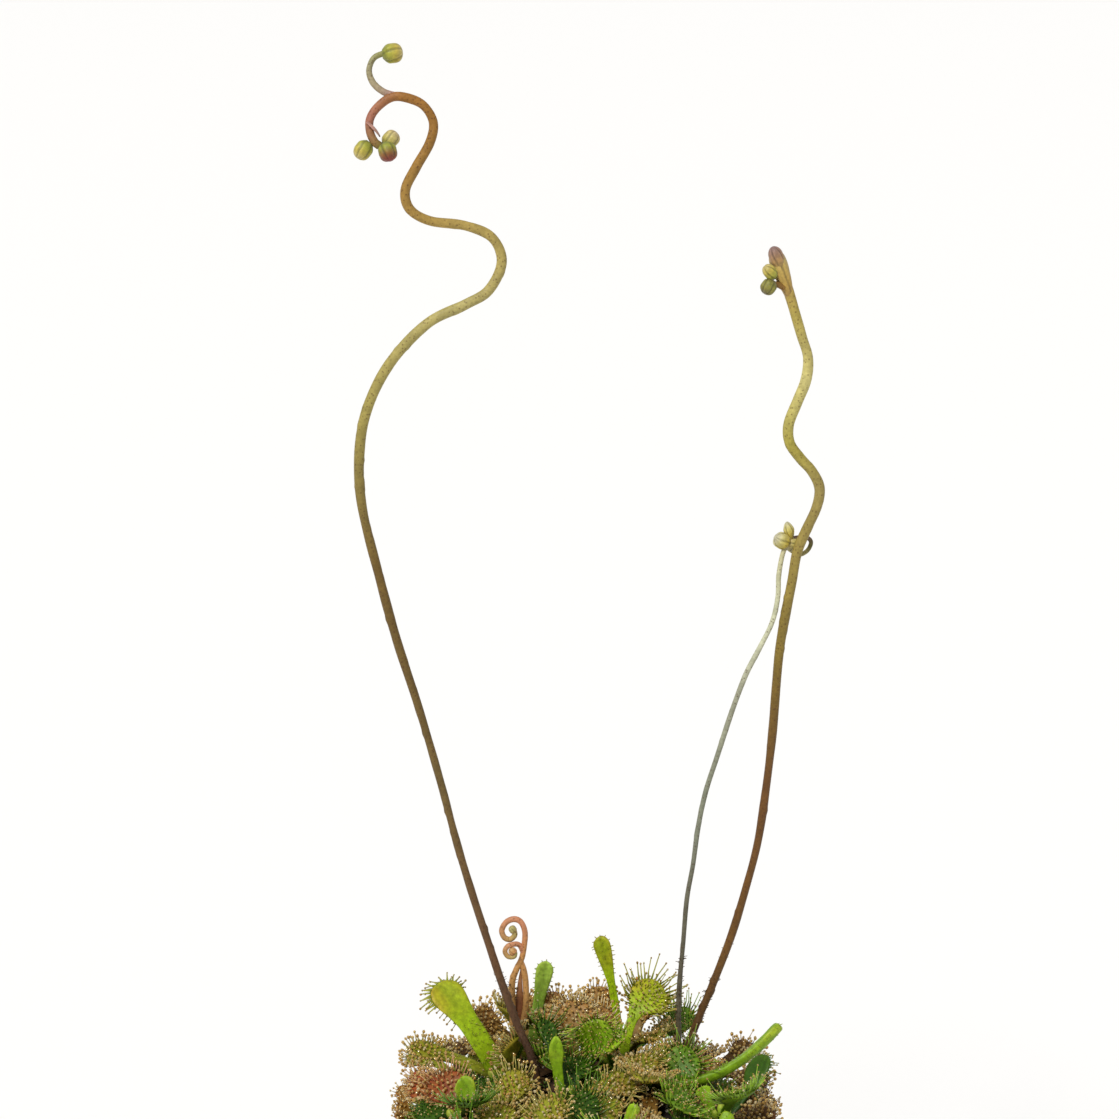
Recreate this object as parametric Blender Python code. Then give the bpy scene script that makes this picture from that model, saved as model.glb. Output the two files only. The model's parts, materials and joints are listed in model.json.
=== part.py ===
"""Potted spoon-leaved sundew: fourteen rosettes of dewy leaves in a small round nursery pot, with
two tall flower stalks, a thin one, and a young one that is still coiled.

The origin is the middle of the pot's underside, +Z is up, and the side seen first faces -Y.
Lengths are in millimetres until a mesh is made, where MM turns them to metres.
"""

import math
import random
from collections import namedtuple

import bmesh
import bpy
import numpy as np
from mathutils import Vector
from mathutils.bvhtree import BVHTree

MM = 0.001
FIT_GAP = 0.3
WELD = 0.0001

# Pot
POT_HEIGHT = 57.0
RIM_RADIUS = 31.0
FOOT_RADIUS = 21.0
WALL = 1.2
COLLAR_HEIGHT = 10.0
COLLAR_STEP = 1.5
COLLAR_TAPER = 0.4
FOOT_CHAMFER = 0.7
LIP_ROUND = 0.2
FLOOR = 1.6
POT_SIDES = 32
DRAIN_HOLES = 4
DRAIN_RADIUS = 2.6
DRAIN_CIRCLE = 13.0
DRAIN_SIDES = 8

# Growing medium, which fills the pot to a little under its rim
SOIL_EDGE_Z = 55.0
SOIL_RISE = 7.6
TUSSOCK_RISE = 1.8
TUSSOCK_SPREAD = 4.5
SOIL_SIDES = 24
SOIL_RINGS = (24.0, 18.0, 12.0, 5.0)
SHOULDER = (1.6, 2.4)

# Crowns, where each rosette's short stem stands
CROWNS = {
    "left": (-18.5, -8.0),
    "mid_left": (-12.5, 4.0),
    "mid": (-3.0, -5.5),
    "back_left": (-9.5, 18.0),
    "back_right": (6.5, 19.5),
    "centre": (5.0, 8.0),
    "stalks": (11.5, 1.5),
    "right": (20.0, -7.5),
    "front_left": (-12.5, -19.0),
    "front": (3.5, -19.5),
    "front_right": (17.5, -18.5),
    "rear_left": (-20.5, 12.0),
    "rear_right": (19.5, 14.0),
    "heart": (-2.5, 5.5),
}
CROWN_STAND = 1.3
BASE_OFFSET = 0.9
BASE_SUNK = 0.6
CROWN_RADIUS = 2.6
CROWN_HOLE = 3.0
CROWN_DEPTH = 7.0
CROWN_SIDES = 8
DRILL_ABOVE = 4.0

# Leaves
EDGE_SHARE = 0.7
TIP_SHARE = 0.35
LAMINA_START = 0.36
SECTION = ((-1, 1), (0, 1), (1, 1), (1, -1), (0, -1), (-1, -1))
TEST_MARGIN = 0.2
LAYOUT_SEED = 11
GOLDEN_ANGLE = math.radians(137.5)
TURN_STEP = 40
TURN_CLEAR = math.radians(24)
TURNS_TRIED = 12
RULE_BOW_UP = 0.17
RULE_BOW_IN = 0.05
RULE_FACING = 0.8
RULE_LEAN = 0.45
SHORTER = (1.0, 0.85, 0.72, 0.6)
RAISED = (0, 12, -8, 24, 36)
SWUNG = (0, 14, -14, 28, -28)

Leaf = namedtuple("Leaf", "rosette kind base tip bow facing width petiole thick")
Kind = namedtuple("Kind", "length lift width petiole thick cup hairs")

KINDS = {
    "young": Kind((6.0, 8.0), (58, 74), (2.2, 2.8), 1.5, 1.0, 0.35, 3),
    "mature": Kind((9.5, 12.5), (22, 46), (5.2, 6.4), 1.9, 0.9, 0.16, 5),
    "old": Kind((8.5, 11.5), (0, 14), (4.6, 5.6), 1.7, 0.9, 0.08, 3),
}
ROSETTE_KINDS = ("young", "mature", "mature", "mature", "old", "old")
LOW_ROSETTES = ("rear_left", "rear_right")

# The leaves placed by hand: rosette, kind, tip, bow, facing, width, petiole width, thickness
PLACED_LEAVES = (
    ("mid_left", "mature", (-23.6, 9.4, 78.8), (0, -1, 3), (0.35, -0.75, 0.55), 5.6, 3.6, 1.0),
    ("mid_left", "mature", (-27.6, 5.0, 70.0), (0, 0, 1.6), (0, -0.3, 0.95), 4.0, 2.2, 1.2),
    ("left", "old", (-27.4, -1.2, 66.2), (1, 0.5, 3), (-0.2, -0.5, 0.85), 4.8, 1.8, 0.9),
    ("left", "young", (-19.4, -7.4, 70.2), (2.2, -0.6, 1.0), (-0.3, -0.8, 0.5), 3.4, 2.6, 1.1),
    ("left", "old", (-26.2, -7.0, 64.4), (0, 0, 1.6), (-0.1, -0.3, 0.95), 5.4, 1.9, 0.9),
    ("left", "mature", (-22.8, -2.2, 68.6), (0, -1, 1), (0, -0.75, 0.65), 6.4, 2.4, 0.9),
    ("back_left", "young", (-6.4, 20.8, 78.6), (-0.4, 0.8, 0), (0.1, -0.9, 0.3), 2.8, 1.8, 1.0),
    ("back_left", "old", (-18.2, 15.6, 70.8), (0, 0, 3), (-0.1, -0.6, 0.8), 5.6, 2.0, 0.9),
    ("back_left", "old", (-3.4, 21.0, 72.4), (0, 0, 2), (0, -0.75, 0.65), 6.4, 2.0, 0.9),
    ("back_left", "old", (-10.4, 25.0, 71.2), (0, 0, 2), (0, -0.6, 0.8), 6.0, 2.0, 0.9),
    ("back_right", "young", (2.2, 21.2, 82.7), (1, 0.6, 0), (-0.2, -0.95, 0.2), 2.8, 1.3, 1.0),
    ("back_right", "old", (0.0, 23.6, 72.4), (0, 0, 2), (0, -0.75, 0.65), 6.2, 2.0, 0.9),
    ("back_right", "old", (10.8, 25.2, 72.2), (0, 0, 2), (0, -0.6, 0.8), 6.0, 2.0, 0.9),
    ("centre", "mature", (12.4, 14.2, 76.0), (-2.8, -1, 5.2), (0.1, -0.62, 0.78), 6.6, 1.6, 0.9),
    ("centre", "mature", (-0.4, 13.2, 72.8), (0, -0.5, 2), (0, -0.7, 0.7), 6.8, 2.2, 0.9),
    ("centre", "mature", (9.2, -1.8, 68.6), (0, 0, 4), (0, -0.2, 0.98), 6.0, 2.0, 0.9),
    ("mid", "young", (-4.8, -3.6, 75.4), (-0.8, 0.3, 0), (0, -1, 0.1), 2.9, 1.6, 1.0),
    ("mid", "mature", (-6.9, 4.6, 74.8), (0.6, -1, 1), (0.4, -0.8, 0.4), 3.0, 2.0, 1.0),
    ("mid", "mature", (7.2, -6.0, 67.6), (0, 0, 3.4), (0, -0.3, 0.95), 5.6, 2.0, 0.9),
    ("stalks", "young", (30.0, 4.2, 74.2), (1.2, -2.4, -3.6), (-0.5, 0.2, 0.85), 2.8, 1.9, 1.5),
    ("stalks", "mature", (17.0, 3.6, 69.4), (0, -0.5, 1.6), (0.1, -0.7, 0.7), 6.2, 2.2, 0.9),
    ("stalks", "old", (20.6, 8.0, 66.0), (0, -1, 2.0), (0.1, -0.3, 0.95), 5.0, 1.9, 0.9),
    ("right", "mature", (27.4, -1.2, 71.4), (0.5, -1, -1), (-0.45, -0.3, 0.8), 4.4, 2.2, 1.0),
    ("right", "young", (17.2, -5.8, 68.0), (-0.5, 0, 1.5), (0.3, -0.8, 0.4), 2.6, 1.6, 1.0),
    ("right", "old", (27.8, -4.0, 64.4), (0, 0, 2.4), (0, -0.2, 0.98), 4.8, 1.9, 0.9),
    ("front", "mature", (1.8, -9.6, 67.6), (0, -1, 2), (0, -0.55, 0.83), 6.0, 2.2, 0.9),
    ("heart", "old", (-5.2, 13.2, 73.2), (0, 0, 2), (0, -0.75, 0.65), 6.0, 2.0, 0.9),
    ("heart", "mature", (1.2, 2.0, 76.0), (2.0, -1.5, 0), (0, -0.8, 0.6), 6.0, 2.0, 0.9),
)

# Tentacles: three-sided, each with its drop as a thicker end
HAIR_ROOT_RADIUS = 0.16
HAIR_TIP_RADIUS = 0.27
HAIR_SUNK = 0.25
HAIR_CLEAR = 0.35
HAIR_SPACING = 1.0
HAIR_SITES = ((1.0, 0.0), (0.7, 1.0), (0.7, -1.0), (0.5, 0.1), (0.3, -1.0))
HAIR_LENGTHS = {"young": 0.9, "mature": 2.3, "old": 1.9}
HAIR_EDGE = 0.8
FACE_HAIR = 0.6

# Flower stalks: each route starts in the soil and ends at its tip
STALK_SIDES = 5
STALK_HOLE = 1.05
STALK_HOLE_SIDES = 8
SHARP_BEND = 17.0
LEFT_ROUTE = (
    (-7.2, 0.3, 54.5), (-7.2, 0.3, 61.5), (-7.7, 0.4, 66.2), (-8.7, 0.5, 70.6), (-10.6, 1.2, 74.9),
    (-12.7, 2.0, 80.4), (-15.0, 3.0, 87.2), (-17.8, 4.0, 95.9), (-20.0, 4.5, 103.5), (-22.4, 5.0, 112.9),
    (-25.5, 5.0, 124.3), (-28.9, 4.5, 135.7), (-31.7, 4.0, 146.9), (-33.7, 3.0, 156.3), (-34.0, 2.0, 163.7),
    (-32.8, 1.5, 171.0), (-29.3, 1.5, 178.1), (-23.7, 2.0, 184.0), (-18.1, 3.0, 186.7), (-14.7, 4.0, 188.7),
    (-12.8, 5.0, 192.7), (-14.2, 5.0, 196.3), (-18.1, 4.5, 198.1), (-23.2, 3.5, 198.9), (-26.1, 2.5, 200.7),
    (-26.7, 2.0, 203.5), (-25.1, 2.0, 206.8), (-23.1, 2.5, 210.3), (-22.6, 3.0, 213.2), (-24.1, 3.0, 215.7),
    (-26.8, 3.0, 216.8), (-28.8, 3.0, 216.7), (-30.7, 2.5, 215.3), (-31.7, 2.0, 213.7), (-31.7, 1.5, 212.0),
    (-31.1, 1.2, 210.6), (-30.3, 1.2, 209.9),
)
LEFT_FORK = (
    (-27.2, 3.0, 216.9), (-28.4, 3.2, 217.1), (-29.9, 3.6, 217.6), (-31.3, 4.0, 218.8), (-31.9, 4.5, 220.5),
    (-31.3, 5.0, 222.2), (-30.0, 5.2, 222.9), (-28.9, 5.3, 223.0),
)
RIGHT_ROUTE = (
    (14.3, 6.9, 54.5), (14.3, 6.9, 63.0), (14.9, 7.3, 66.2), (16.2, 8.0, 70.2), (17.6, 8.2, 74.0),
    (19.7, 8.5, 79.3), (22.5, 9.0, 87.0), (24.7, 9.0, 94.9), (26.5, 9.0, 102.7), (27.7, 8.5, 112.5),
    (28.4, 8.0, 120.6), (28.8, 7.5, 128.0), (29.2, 7.0, 133.8), (30.0, 6.5, 139.5), (30.8, 6.2, 144.3),
    (31.5, 6.0, 148.9), (32.8, 6.0, 152.3), (34.3, 6.0, 155.8), (34.7, 6.2, 158.7), (33.6, 6.6, 161.1),
    (31.8, 7.0, 163.1), (30.2, 7.2, 165.4), (30.0, 7.2, 168.2), (31.2, 7.0, 171.6), (32.4, 6.5, 175.0),
    (32.6, 6.0, 178.4), (31.6, 5.5, 181.6), (30.6, 5.0, 184.8), (29.8, 5.0, 187.4), (28.9, 5.0, 190.1),
    (28.0, 4.9, 192.6), (27.4, 4.6, 194.6),
)
THIN_ROUTE = (
    (14.7, 9.9, 54.5), (14.7, 9.9, 61.0), (14.5, 9.8, 66.0), (14.5, 9.6, 70.3), (14.4, 9.4, 75.0),
    (14.6, 9.2, 80.4), (15.0, 9.0, 85.6), (15.5, 8.6, 93.1), (16.4, 8.2, 99.0), (17.1, 7.9, 105.0),
    (18.2, 7.5, 110.9), (19.9, 7.2, 116.7), (21.9, 7.0, 123.4), (24.0, 6.8, 129.5), (26.0, 6.6, 133.7),
    (27.9, 6.4, 137.9), (28.7, 6.2, 141.8), (28.8, 6.2, 145.2), (29.3, 6.6, 148.2), (29.9, 7.2, 149.4),
    (30.7, 8.0, 148.8), (32.0, 8.5, 148.0), (33.3, 8.8, 148.6), (33.8, 8.8, 149.9), (33.0, 8.6, 150.7),
    (31.8, 8.2, 150.7), (30.7, 7.4, 150.7),
)
YOUNG_ROUTE = (
    (-10.4, 9.3, 54.5), (-10.4, 9.3, 62.5), (-10.8, 9.2, 66.0), (-11.5, 9.0, 71.5), (-11.7, 9.0, 76.5),
    (-11.7, 9.0, 79.5), (-11.1, 9.0, 81.4), (-10.2, 9.0, 83.4), (-9.8, 9.0, 85.6), (-9.7, 9.0, 87.7),
    (-10.3, 9.0, 89.3), (-11.4, 9.0, 89.8), (-12.6, 9.0, 89.3), (-13.3, 9.0, 88.0), (-12.9, 9.0, 86.8),
    (-12.0, 9.0, 86.5), (-11.3, 9.0, 87.2), (-11.5, 9.0, 88.2),
)
YOUNG_STRAND = (
    (-11.0, 9.2, 68.5), (-10.2, 9.4, 71.3), (-9.6, 9.5, 75.5), (-9.6, 9.5, 78.9), (-9.9, 9.3, 81.2),
    (-10.4, 9.1, 82.8),
)
YOUNG_CURL = (
    (-10.0, 9.0, 84.4), (-10.5, 8.7, 85.6), (-11.3, 8.2, 86.0), (-12.4, 7.9, 85.7), (-12.8, 7.8, 84.9),
    (-12.3, 7.8, 84.1), (-11.4, 7.8, 84.1), (-11.2, 7.8, 84.8),
)
LEFT_RADII = (0.58, 0.60, 0.80, 0.62)
RIGHT_RADII = (0.60, 0.60, 0.75, 0.80)
THIN_RADII = (0.42, 0.38, 0.42, 0.34)
YOUNG_RADII = (0.60, 0.60, 0.45, 0.42)

# Buds: centre, the way the tip points, length, width
BUD_SIDES = 8
LEFT_BUDS = (
    ((-28.3, 5.3, 223.0), (1, 0.1, 0.1), 3.1, 2.9),
    ((-32.5, 1.2, 209.3), (-0.6, -0.2, -0.7), 2.9, 2.5),
    ((-28.7, 1.6, 210.6), (0.8, 0.2, 0.6), 2.8, 2.4),
    ((-29.2, 0.4, 209.0), (0.2, -0.5, -0.8), 2.9, 2.4),
)
RIGHT_BUDS = (
    ((28.2, 4.9, 191.6), (-0.35, 0, 0.94), 6.4, 2.5),
    ((26.4, 3.7, 189.3), (-0.5, -0.3, -0.8), 2.8, 2.1),
    ((26.5, 3.9, 191.4), (-0.9, -0.2, 0.1), 2.6, 2.0),
    ((27.2, 4.2, 193.8), (-0.5, -0.2, 0.8), 2.6, 2.0),
)
THIN_BUDS = (
    ((29.3, 6.9, 150.8), (-0.7, -0.3, 0.5), 2.4, 2.0),
    ((30.5, 7.2, 151.8), (0.2, 0, 1), 2.2, 1.5),
)


def clear_scene():
    """Remove every object that the scene starts with."""
    for old in list(bpy.data.objects):
        bpy.data.objects.remove(old, do_unlink=True)


def make_material(name, colour, roughness, metallic=0.0):
    """A Principled material of one linear colour."""
    material = bpy.data.materials.new(name)
    material.use_nodes = True
    shader = material.node_tree.nodes["Principled BSDF"]
    shader.inputs["Base Color"].default_value = (*colour, 1.0)
    shader.inputs["Roughness"].default_value = roughness
    shader.inputs["Metallic"].default_value = metallic
    material.diffuse_color = (*colour, 1.0)
    return material


def add_object(name, points, faces, material=None):
    """A mesh object from points in millimetres, with its faces turned outward."""
    mesh = bpy.data.meshes.new(name)
    mesh.from_pydata([tuple(p) for p in np.asarray(points) * MM], [], faces)
    shape = bmesh.new()
    shape.from_mesh(mesh)
    bmesh.ops.recalc_face_normals(shape, faces=shape.faces)
    shape.to_mesh(mesh)
    shape.free()
    mesh.validate()
    if material is not None:
        mesh.materials.append(material)
    thing = bpy.data.objects.new(name, mesh)
    bpy.context.scene.collection.objects.link(thing)
    return thing


def shade(thing, angle=40.0):
    """Smooth shading with sharp edges past the angle."""
    thing.data.shade_smooth()
    thing.data.set_sharp_from_angle(angle=math.radians(angle))


def apply_modifier(thing, modifier):
    """Apply one modifier."""
    with bpy.context.temp_override(object=thing, active_object=thing, selected_objects=[thing]):
        bpy.ops.object.modifier_apply(modifier=modifier.name)


def boolean(thing, others, operation, solver):
    """Join the others to a thing, or cut them from it, in one step, and remove them."""
    group = bpy.data.collections.new("operands")
    bpy.context.scene.collection.children.link(group)
    for other in others:
        bpy.context.scene.collection.objects.unlink(other)
        group.objects.link(other)
    modifier = thing.modifiers.new("join", "BOOLEAN")
    modifier.operation = operation
    modifier.operand_type = "COLLECTION"
    modifier.collection = group
    modifier.solver = solver
    apply_modifier(thing, modifier)
    for other in others:
        bpy.data.objects.remove(other, do_unlink=True)
    bpy.data.collections.remove(group)


def drop_scraps(thing):
    """Keep the largest connected body of a mesh, in triangles."""
    shape = bmesh.new()
    shape.from_mesh(thing.data)
    bmesh.ops.remove_doubles(shape, verts=shape.verts, dist=WELD * MM)
    unseen = set(shape.verts)
    bodies = []
    while unseen:
        front = [unseen.pop()]
        body = list(front)
        while front:
            vertex = front.pop()
            for edge in vertex.link_edges:
                other = edge.other_vert(vertex)
                if other in unseen:
                    unseen.remove(other)
                    front.append(other)
                    body.append(other)
        bodies.append(body)
    bodies.sort(key=len)
    for body in bodies[:-1]:
        bmesh.ops.delete(shape, geom=body, context="VERTS")
    bmesh.ops.triangulate(shape, faces=shape.faces)
    shape.to_mesh(thing.data)
    shape.free()


def unit(vectors):
    """Vectors scaled to length one."""
    vectors = np.asarray(vectors, float)
    return vectors / np.linalg.norm(vectors, axis=-1, keepdims=True)


def loft(rings):
    """Points and faces of a closed tube through equal rings, with a flat face at each end."""
    count, sides = rings.shape[:2]
    faces = []
    for ring in range(count - 1):
        for side in range(sides):
            after = (side + 1) % sides
            low = ring * sides
            high = low + sides
            faces.append((low + side, low + after, high + after, high + side))
    faces.append(tuple(reversed(range(sides))))
    faces.append(tuple(range((count - 1) * sides, count * sides)))
    return rings.reshape(-1, 3), faces


def turned(profile, sides, centre=(0.0, 0.0)):
    """Points and faces of a profile of (radius, height) points turned round a vertical axis."""
    angles = np.linspace(0, 2 * math.pi, sides, endpoint=False)
    rings = []
    for radius, height in profile:
        x = centre[0] + radius * np.cos(angles)
        y = centre[1] + radius * np.sin(angles)
        rings.append(np.stack([x, y, np.full(sides, height)], axis=1))
    return loft(np.array(rings))


def pot_profile():
    """The pot's outline, from the edge of its underside over the rim to the edge of its floor."""
    collar = POT_HEIGHT - COLLAR_HEIGHT
    outside = RIM_RADIUS - COLLAR_TAPER
    under = outside - COLLAR_STEP
    inside = outside - WALL
    return (
        (FOOT_RADIUS - FOOT_CHAMFER, 0.0), (FOOT_RADIUS, FOOT_CHAMFER), (under, collar),
        (outside, collar + 0.6), (RIM_RADIUS - LIP_ROUND, POT_HEIGHT - 1.8), (RIM_RADIUS, POT_HEIGHT - 1.2),
        (RIM_RADIUS - LIP_ROUND, POT_HEIGHT), (inside + LIP_ROUND, POT_HEIGHT), (inside, POT_HEIGHT - 0.6),
        (inside, collar + 2.0), (under - WALL, collar + WALL), (FOOT_RADIUS - WALL, FLOOR),
    )


def make_pot(material):
    """The pot: a turned shell with round drain holes through its floor."""
    pot = add_object("pot", *turned(pot_profile(), POT_SIDES), material)
    drains = []
    for number in range(DRAIN_HOLES):
        angle = 2 * math.pi * (number + 0.5) / DRAIN_HOLES
        place = (DRAIN_CIRCLE * math.cos(angle), DRAIN_CIRCLE * math.sin(angle))
        profile = ((DRAIN_RADIUS, -1.0), (DRAIN_RADIUS, FLOOR + 1.0))
        drains.append(add_object("drain", *turned(profile, DRAIN_SIDES, place)))
    boolean(pot, drains, "DIFFERENCE", "EXACT")
    shade(pot)
    return pot


def soil_height(x, y):
    """Height of the soil: a low dome with a small tussock round every crown."""
    reach = RIM_RADIUS - WALL
    height = SOIL_EDGE_Z + SOIL_RISE * (1 - ((x * x + y * y) / (reach * reach)) ** 2)
    for crown_x, crown_y in CROWNS.values():
        away = (x - crown_x) ** 2 + (y - crown_y) ** 2
        height = height + TUSSOCK_RISE * np.exp(-away / (2 * TUSSOCK_SPREAD ** 2))
    return height


def crown_top(rosette):
    """The top of a rosette's short stem."""
    x, y = CROWNS[rosette]
    return np.array([x, y, soil_height(x, y) + CROWN_STAND])


def soil_mesh():
    """Points and faces of the soil without its holes."""
    collar = POT_HEIGHT - COLLAR_HEIGHT
    edge = RIM_RADIUS - COLLAR_TAPER - WALL - FIT_GAP
    under = edge - COLLAR_STEP
    angles = np.linspace(0, 2 * math.pi, SOIL_SIDES, endpoint=False)
    low, high = SHOULDER
    sides = ((FOOT_RADIUS - WALL - FIT_GAP, FLOOR + FIT_GAP), (under, collar + low), (edge, collar + high))
    rings = []
    for radius, height in sides:
        x = radius * np.cos(angles)
        y = radius * np.sin(angles)
        rings.append(np.stack([x, y, np.full(SOIL_SIDES, height)], axis=1))
    for radius in (edge,) + SOIL_RINGS:
        x = radius * np.cos(angles)
        y = radius * np.sin(angles)
        rings.append(np.stack([x, y, soil_height(x, y)], axis=1))
    return loft(np.array(rings))


def make_soil(material):
    """The growing medium, with a plain hole for every crown and stalk."""
    soil = add_object("growing_medium", *soil_mesh(), material)
    drills = []
    for rosette in CROWNS:
        x, y, z = crown_top(rosette)
        profile = ((CROWN_HOLE, z - CROWN_DEPTH - FIT_GAP), (CROWN_HOLE, z + DRILL_ABOVE))
        drills.append(add_object("drill", *turned(profile, CROWN_SIDES, (x, y))))
    for route in (LEFT_ROUTE, RIGHT_ROUTE, THIN_ROUTE, YOUNG_ROUTE):
        x, y, z = route[0]
        profile = ((STALK_HOLE, z - FIT_GAP), (STALK_HOLE, soil_height(x, y) + DRILL_ABOVE))
        drills.append(add_object("drill", *turned(profile, STALK_HOLE_SIDES, (x, y))))
    boolean(soil, drills, "DIFFERENCE", "EXACT")
    drop_scraps(soil)
    return soil


def leaf_length(leaf):
    """Rough length of a leaf from its base by its bow to its tip."""
    base, tip, bow = np.array(leaf.base), np.array(leaf.tip), np.array(leaf.bow)
    middle = (base + tip) / 2 + bow / 2
    return np.linalg.norm(middle - base) + np.linalg.norm(tip - middle)


def leaf_marks(leaf):
    """Where along a leaf its lamina starts to widen, and where its round end starts."""
    full = 1 - 0.5 * leaf.width / leaf_length(leaf)
    return max(full - LAMINA_START, 0.12), full


def leaf_axes(leaf, along):
    """Midrib points, and the unit vectors along, across and out of the upper face."""
    base, tip = np.array(leaf.base), np.array(leaf.tip)
    control = (base + tip) / 2 + np.array(leaf.bow)
    s = np.asarray(along, float)[:, None]
    points = (1 - s) ** 2 * base + 2 * s * (1 - s) * control + s ** 2 * tip
    forward = unit((1 - s) * (control - base) + s * (tip - control))
    across = unit(np.cross(forward, np.array(leaf.facing, float)))
    outward = np.cross(across, forward)
    return points, forward, across, outward


def leaf_half_width(leaf, along):
    """Half the width: a narrow petiole, a smooth step up to the lamina, and a round end."""
    start, full = leaf_marks(leaf)
    s = np.asarray(along, float)
    step = np.clip((s - start) / (full - start), 0, 1)
    body = leaf.petiole + (leaf.width - leaf.petiole) * step * step * (3 - 2 * step)
    past = np.clip((s - full) / (1 - full), 0, 1)
    return body / 2 * np.maximum(np.sqrt(1 - past * past), TIP_SHARE)


def leaf_stations(leaf):
    """The places along a leaf where its section is set."""
    start, full = leaf_marks(leaf)
    return (0.0, start * 0.8, (start + full) / 2, full, full + 0.6 * (1 - full), full + 0.95 * (1 - full))


def leaf_mesh(leaf, margin=0.0):
    """Points and faces of a leaf: a six-sided section carried along the midrib, edges cupped up."""
    along = leaf_stations(leaf)
    points, _, across, outward = leaf_axes(leaf, along)
    half = leaf_half_width(leaf, along)
    cup = KINDS[leaf.kind].cup
    rings = np.zeros((len(along), len(SECTION), 3))
    for number, (side, face) in enumerate(SECTION):
        share = EDGE_SHARE if side else 1.0
        reach = side * (half + margin)
        lift = cup * half * side * side + face * (leaf.thick / 2 * share + margin)
        rings[:, number] = points + across * reach[:, None] + outward * lift[:, None]
    return loft(rings)


def tree_of(points, faces):
    """A search tree of a mesh."""
    return BVHTree.FromPolygons([tuple(p) for p in points], faces)


def test_tree(leaf):
    """The search tree of a leaf grown by the margin that neighbours keep."""
    return tree_of(*leaf_mesh(leaf, TEST_MARGIN))


def crown_mesh(rosette, margin=0.0):
    """Points and faces of a rosette's short stem."""
    x, y, z = crown_top(rosette)
    radius = CROWN_RADIUS + margin
    profile = ((radius, z - CROWN_DEPTH), (radius, z - 1.6), (radius * 0.7, z - 0.5), (radius * 0.3, z))
    return turned(profile, CROWN_SIDES, (x, y))


def smooth_route(route):
    """Points on a Catmull-Rom curve through a route, closer together where it bends."""
    points = np.array(route, float)
    padded = np.vstack([2 * points[0] - points[1], points, 2 * points[-1] - points[-2]])
    runs = unit(np.diff(padded, axis=0))
    turns = np.degrees(np.arccos(np.clip(np.sum(runs[:-1] * runs[1:], axis=1), -1, 1)))
    line = [points[0]]
    for span in range(len(points) - 1):
        bend = max(turns[span], turns[span + 1])
        steps = 1 + int(bend > SHARP_BEND)
        before, start, end, after = padded[span:span + 4]
        for step in range(1, steps + 1):
            t = step / steps
            line.append(0.5 * (2 * start + (end - before) * t
                               + (2 * before - 5 * start + 4 * end - after) * t ** 2
                               + (3 * start - before - 3 * end + after) * t ** 3))
    return np.array(line)


def tube_mesh(line, radii, sides, margin=0.0):
    """Points and faces of a round tube along a line, its radius read from equally spaced values."""
    line = np.asarray(line, float)
    lengths = np.concatenate([[0], np.cumsum(np.linalg.norm(np.diff(line, axis=0), axis=1))])
    radius = np.interp(lengths / lengths[-1], np.linspace(0, 1, len(radii)), radii) + margin
    forward = unit(np.gradient(line, axis=0))
    side = unit(np.cross(forward[0], (0.0, 1.0, 0.1)))
    angles = np.linspace(0, 2 * math.pi, sides, endpoint=False)
    rings = []
    for point, ahead, size in zip(line, forward, radius):
        side = unit(side - ahead * np.dot(side, ahead))
        other = np.cross(ahead, side)
        rings.append(point + size * (np.cos(angles)[:, None] * side + np.sin(angles)[:, None] * other))
    return loft(np.array(rings))


def bud_mesh(centre, pointing, length, width):
    """Points and faces of a closed bud: an egg, fuller towards its stalk."""
    ahead = unit(pointing)
    side = unit(np.cross(ahead, (0.3, 1.0, 0.2)))
    other = np.cross(ahead, side)
    angles = np.linspace(0, 2 * math.pi, BUD_SIDES, endpoint=False)
    turn = np.cos(angles)[:, None] * side + np.sin(angles)[:, None] * other
    rings = []
    for share, girth in ((-0.5, 0.34), (-0.3, 0.86), (0.0, 1.0), (0.3, 0.74), (0.5, 0.2)):
        rings.append(np.array(centre) + ahead * share * length + turn * girth * width / 2)
    return loft(np.array(rings))


def stalk_trees():
    """Search trees of the four stalks, grown by the margin that leaves keep."""
    trees = []
    routes = (
        (LEFT_ROUTE, LEFT_RADII), (RIGHT_ROUTE, RIGHT_RADII), (THIN_ROUTE, THIN_RADII),
        (YOUNG_ROUTE, YOUNG_RADII), (YOUNG_STRAND, YOUNG_RADII[:1]), (YOUNG_CURL, YOUNG_RADII[-1:]),
    )
    for route, radii in routes:
        trees.append(tree_of(*tube_mesh(smooth_route(route), radii, STALK_SIDES, FIT_GAP)))
    return trees


def fixed_trees():
    """Search trees of what no leaf may touch: the stalks, the pot and the soil."""
    return stalk_trees() + [tree_of(*turned(pot_profile(), POT_SIDES)), tree_of(*soil_mesh())]


def is_clear(leaf, leaves, trees, fixed):
    """Whether a leaf crosses nothing but its own rosette."""
    tree = test_tree(leaf)
    if any(tree.overlap(other) for other in fixed):
        return False
    for name in CROWNS:
        if name != leaf.rosette and tree.overlap(tree_of(*crown_mesh(name, TEST_MARGIN))):
            return False
    for other, other_tree in zip(leaves, trees):
        if other.rosette != leaf.rosette and tree.overlap(other_tree):
            return False
    return True


def placed_leaf(rosette, kind, tip, bow, facing, width, petiole, thick):
    """A leaf from its crown to a tip placed by hand."""
    crown = crown_top(rosette)
    outward = np.array([tip[0] - crown[0], tip[1] - crown[1], 0.0])
    base = crown + unit(outward) * BASE_OFFSET - np.array([0.0, 0.0, BASE_SUNK])
    return Leaf(rosette, kind, tuple(base), tip, bow, facing, width, petiole, thick)


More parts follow.
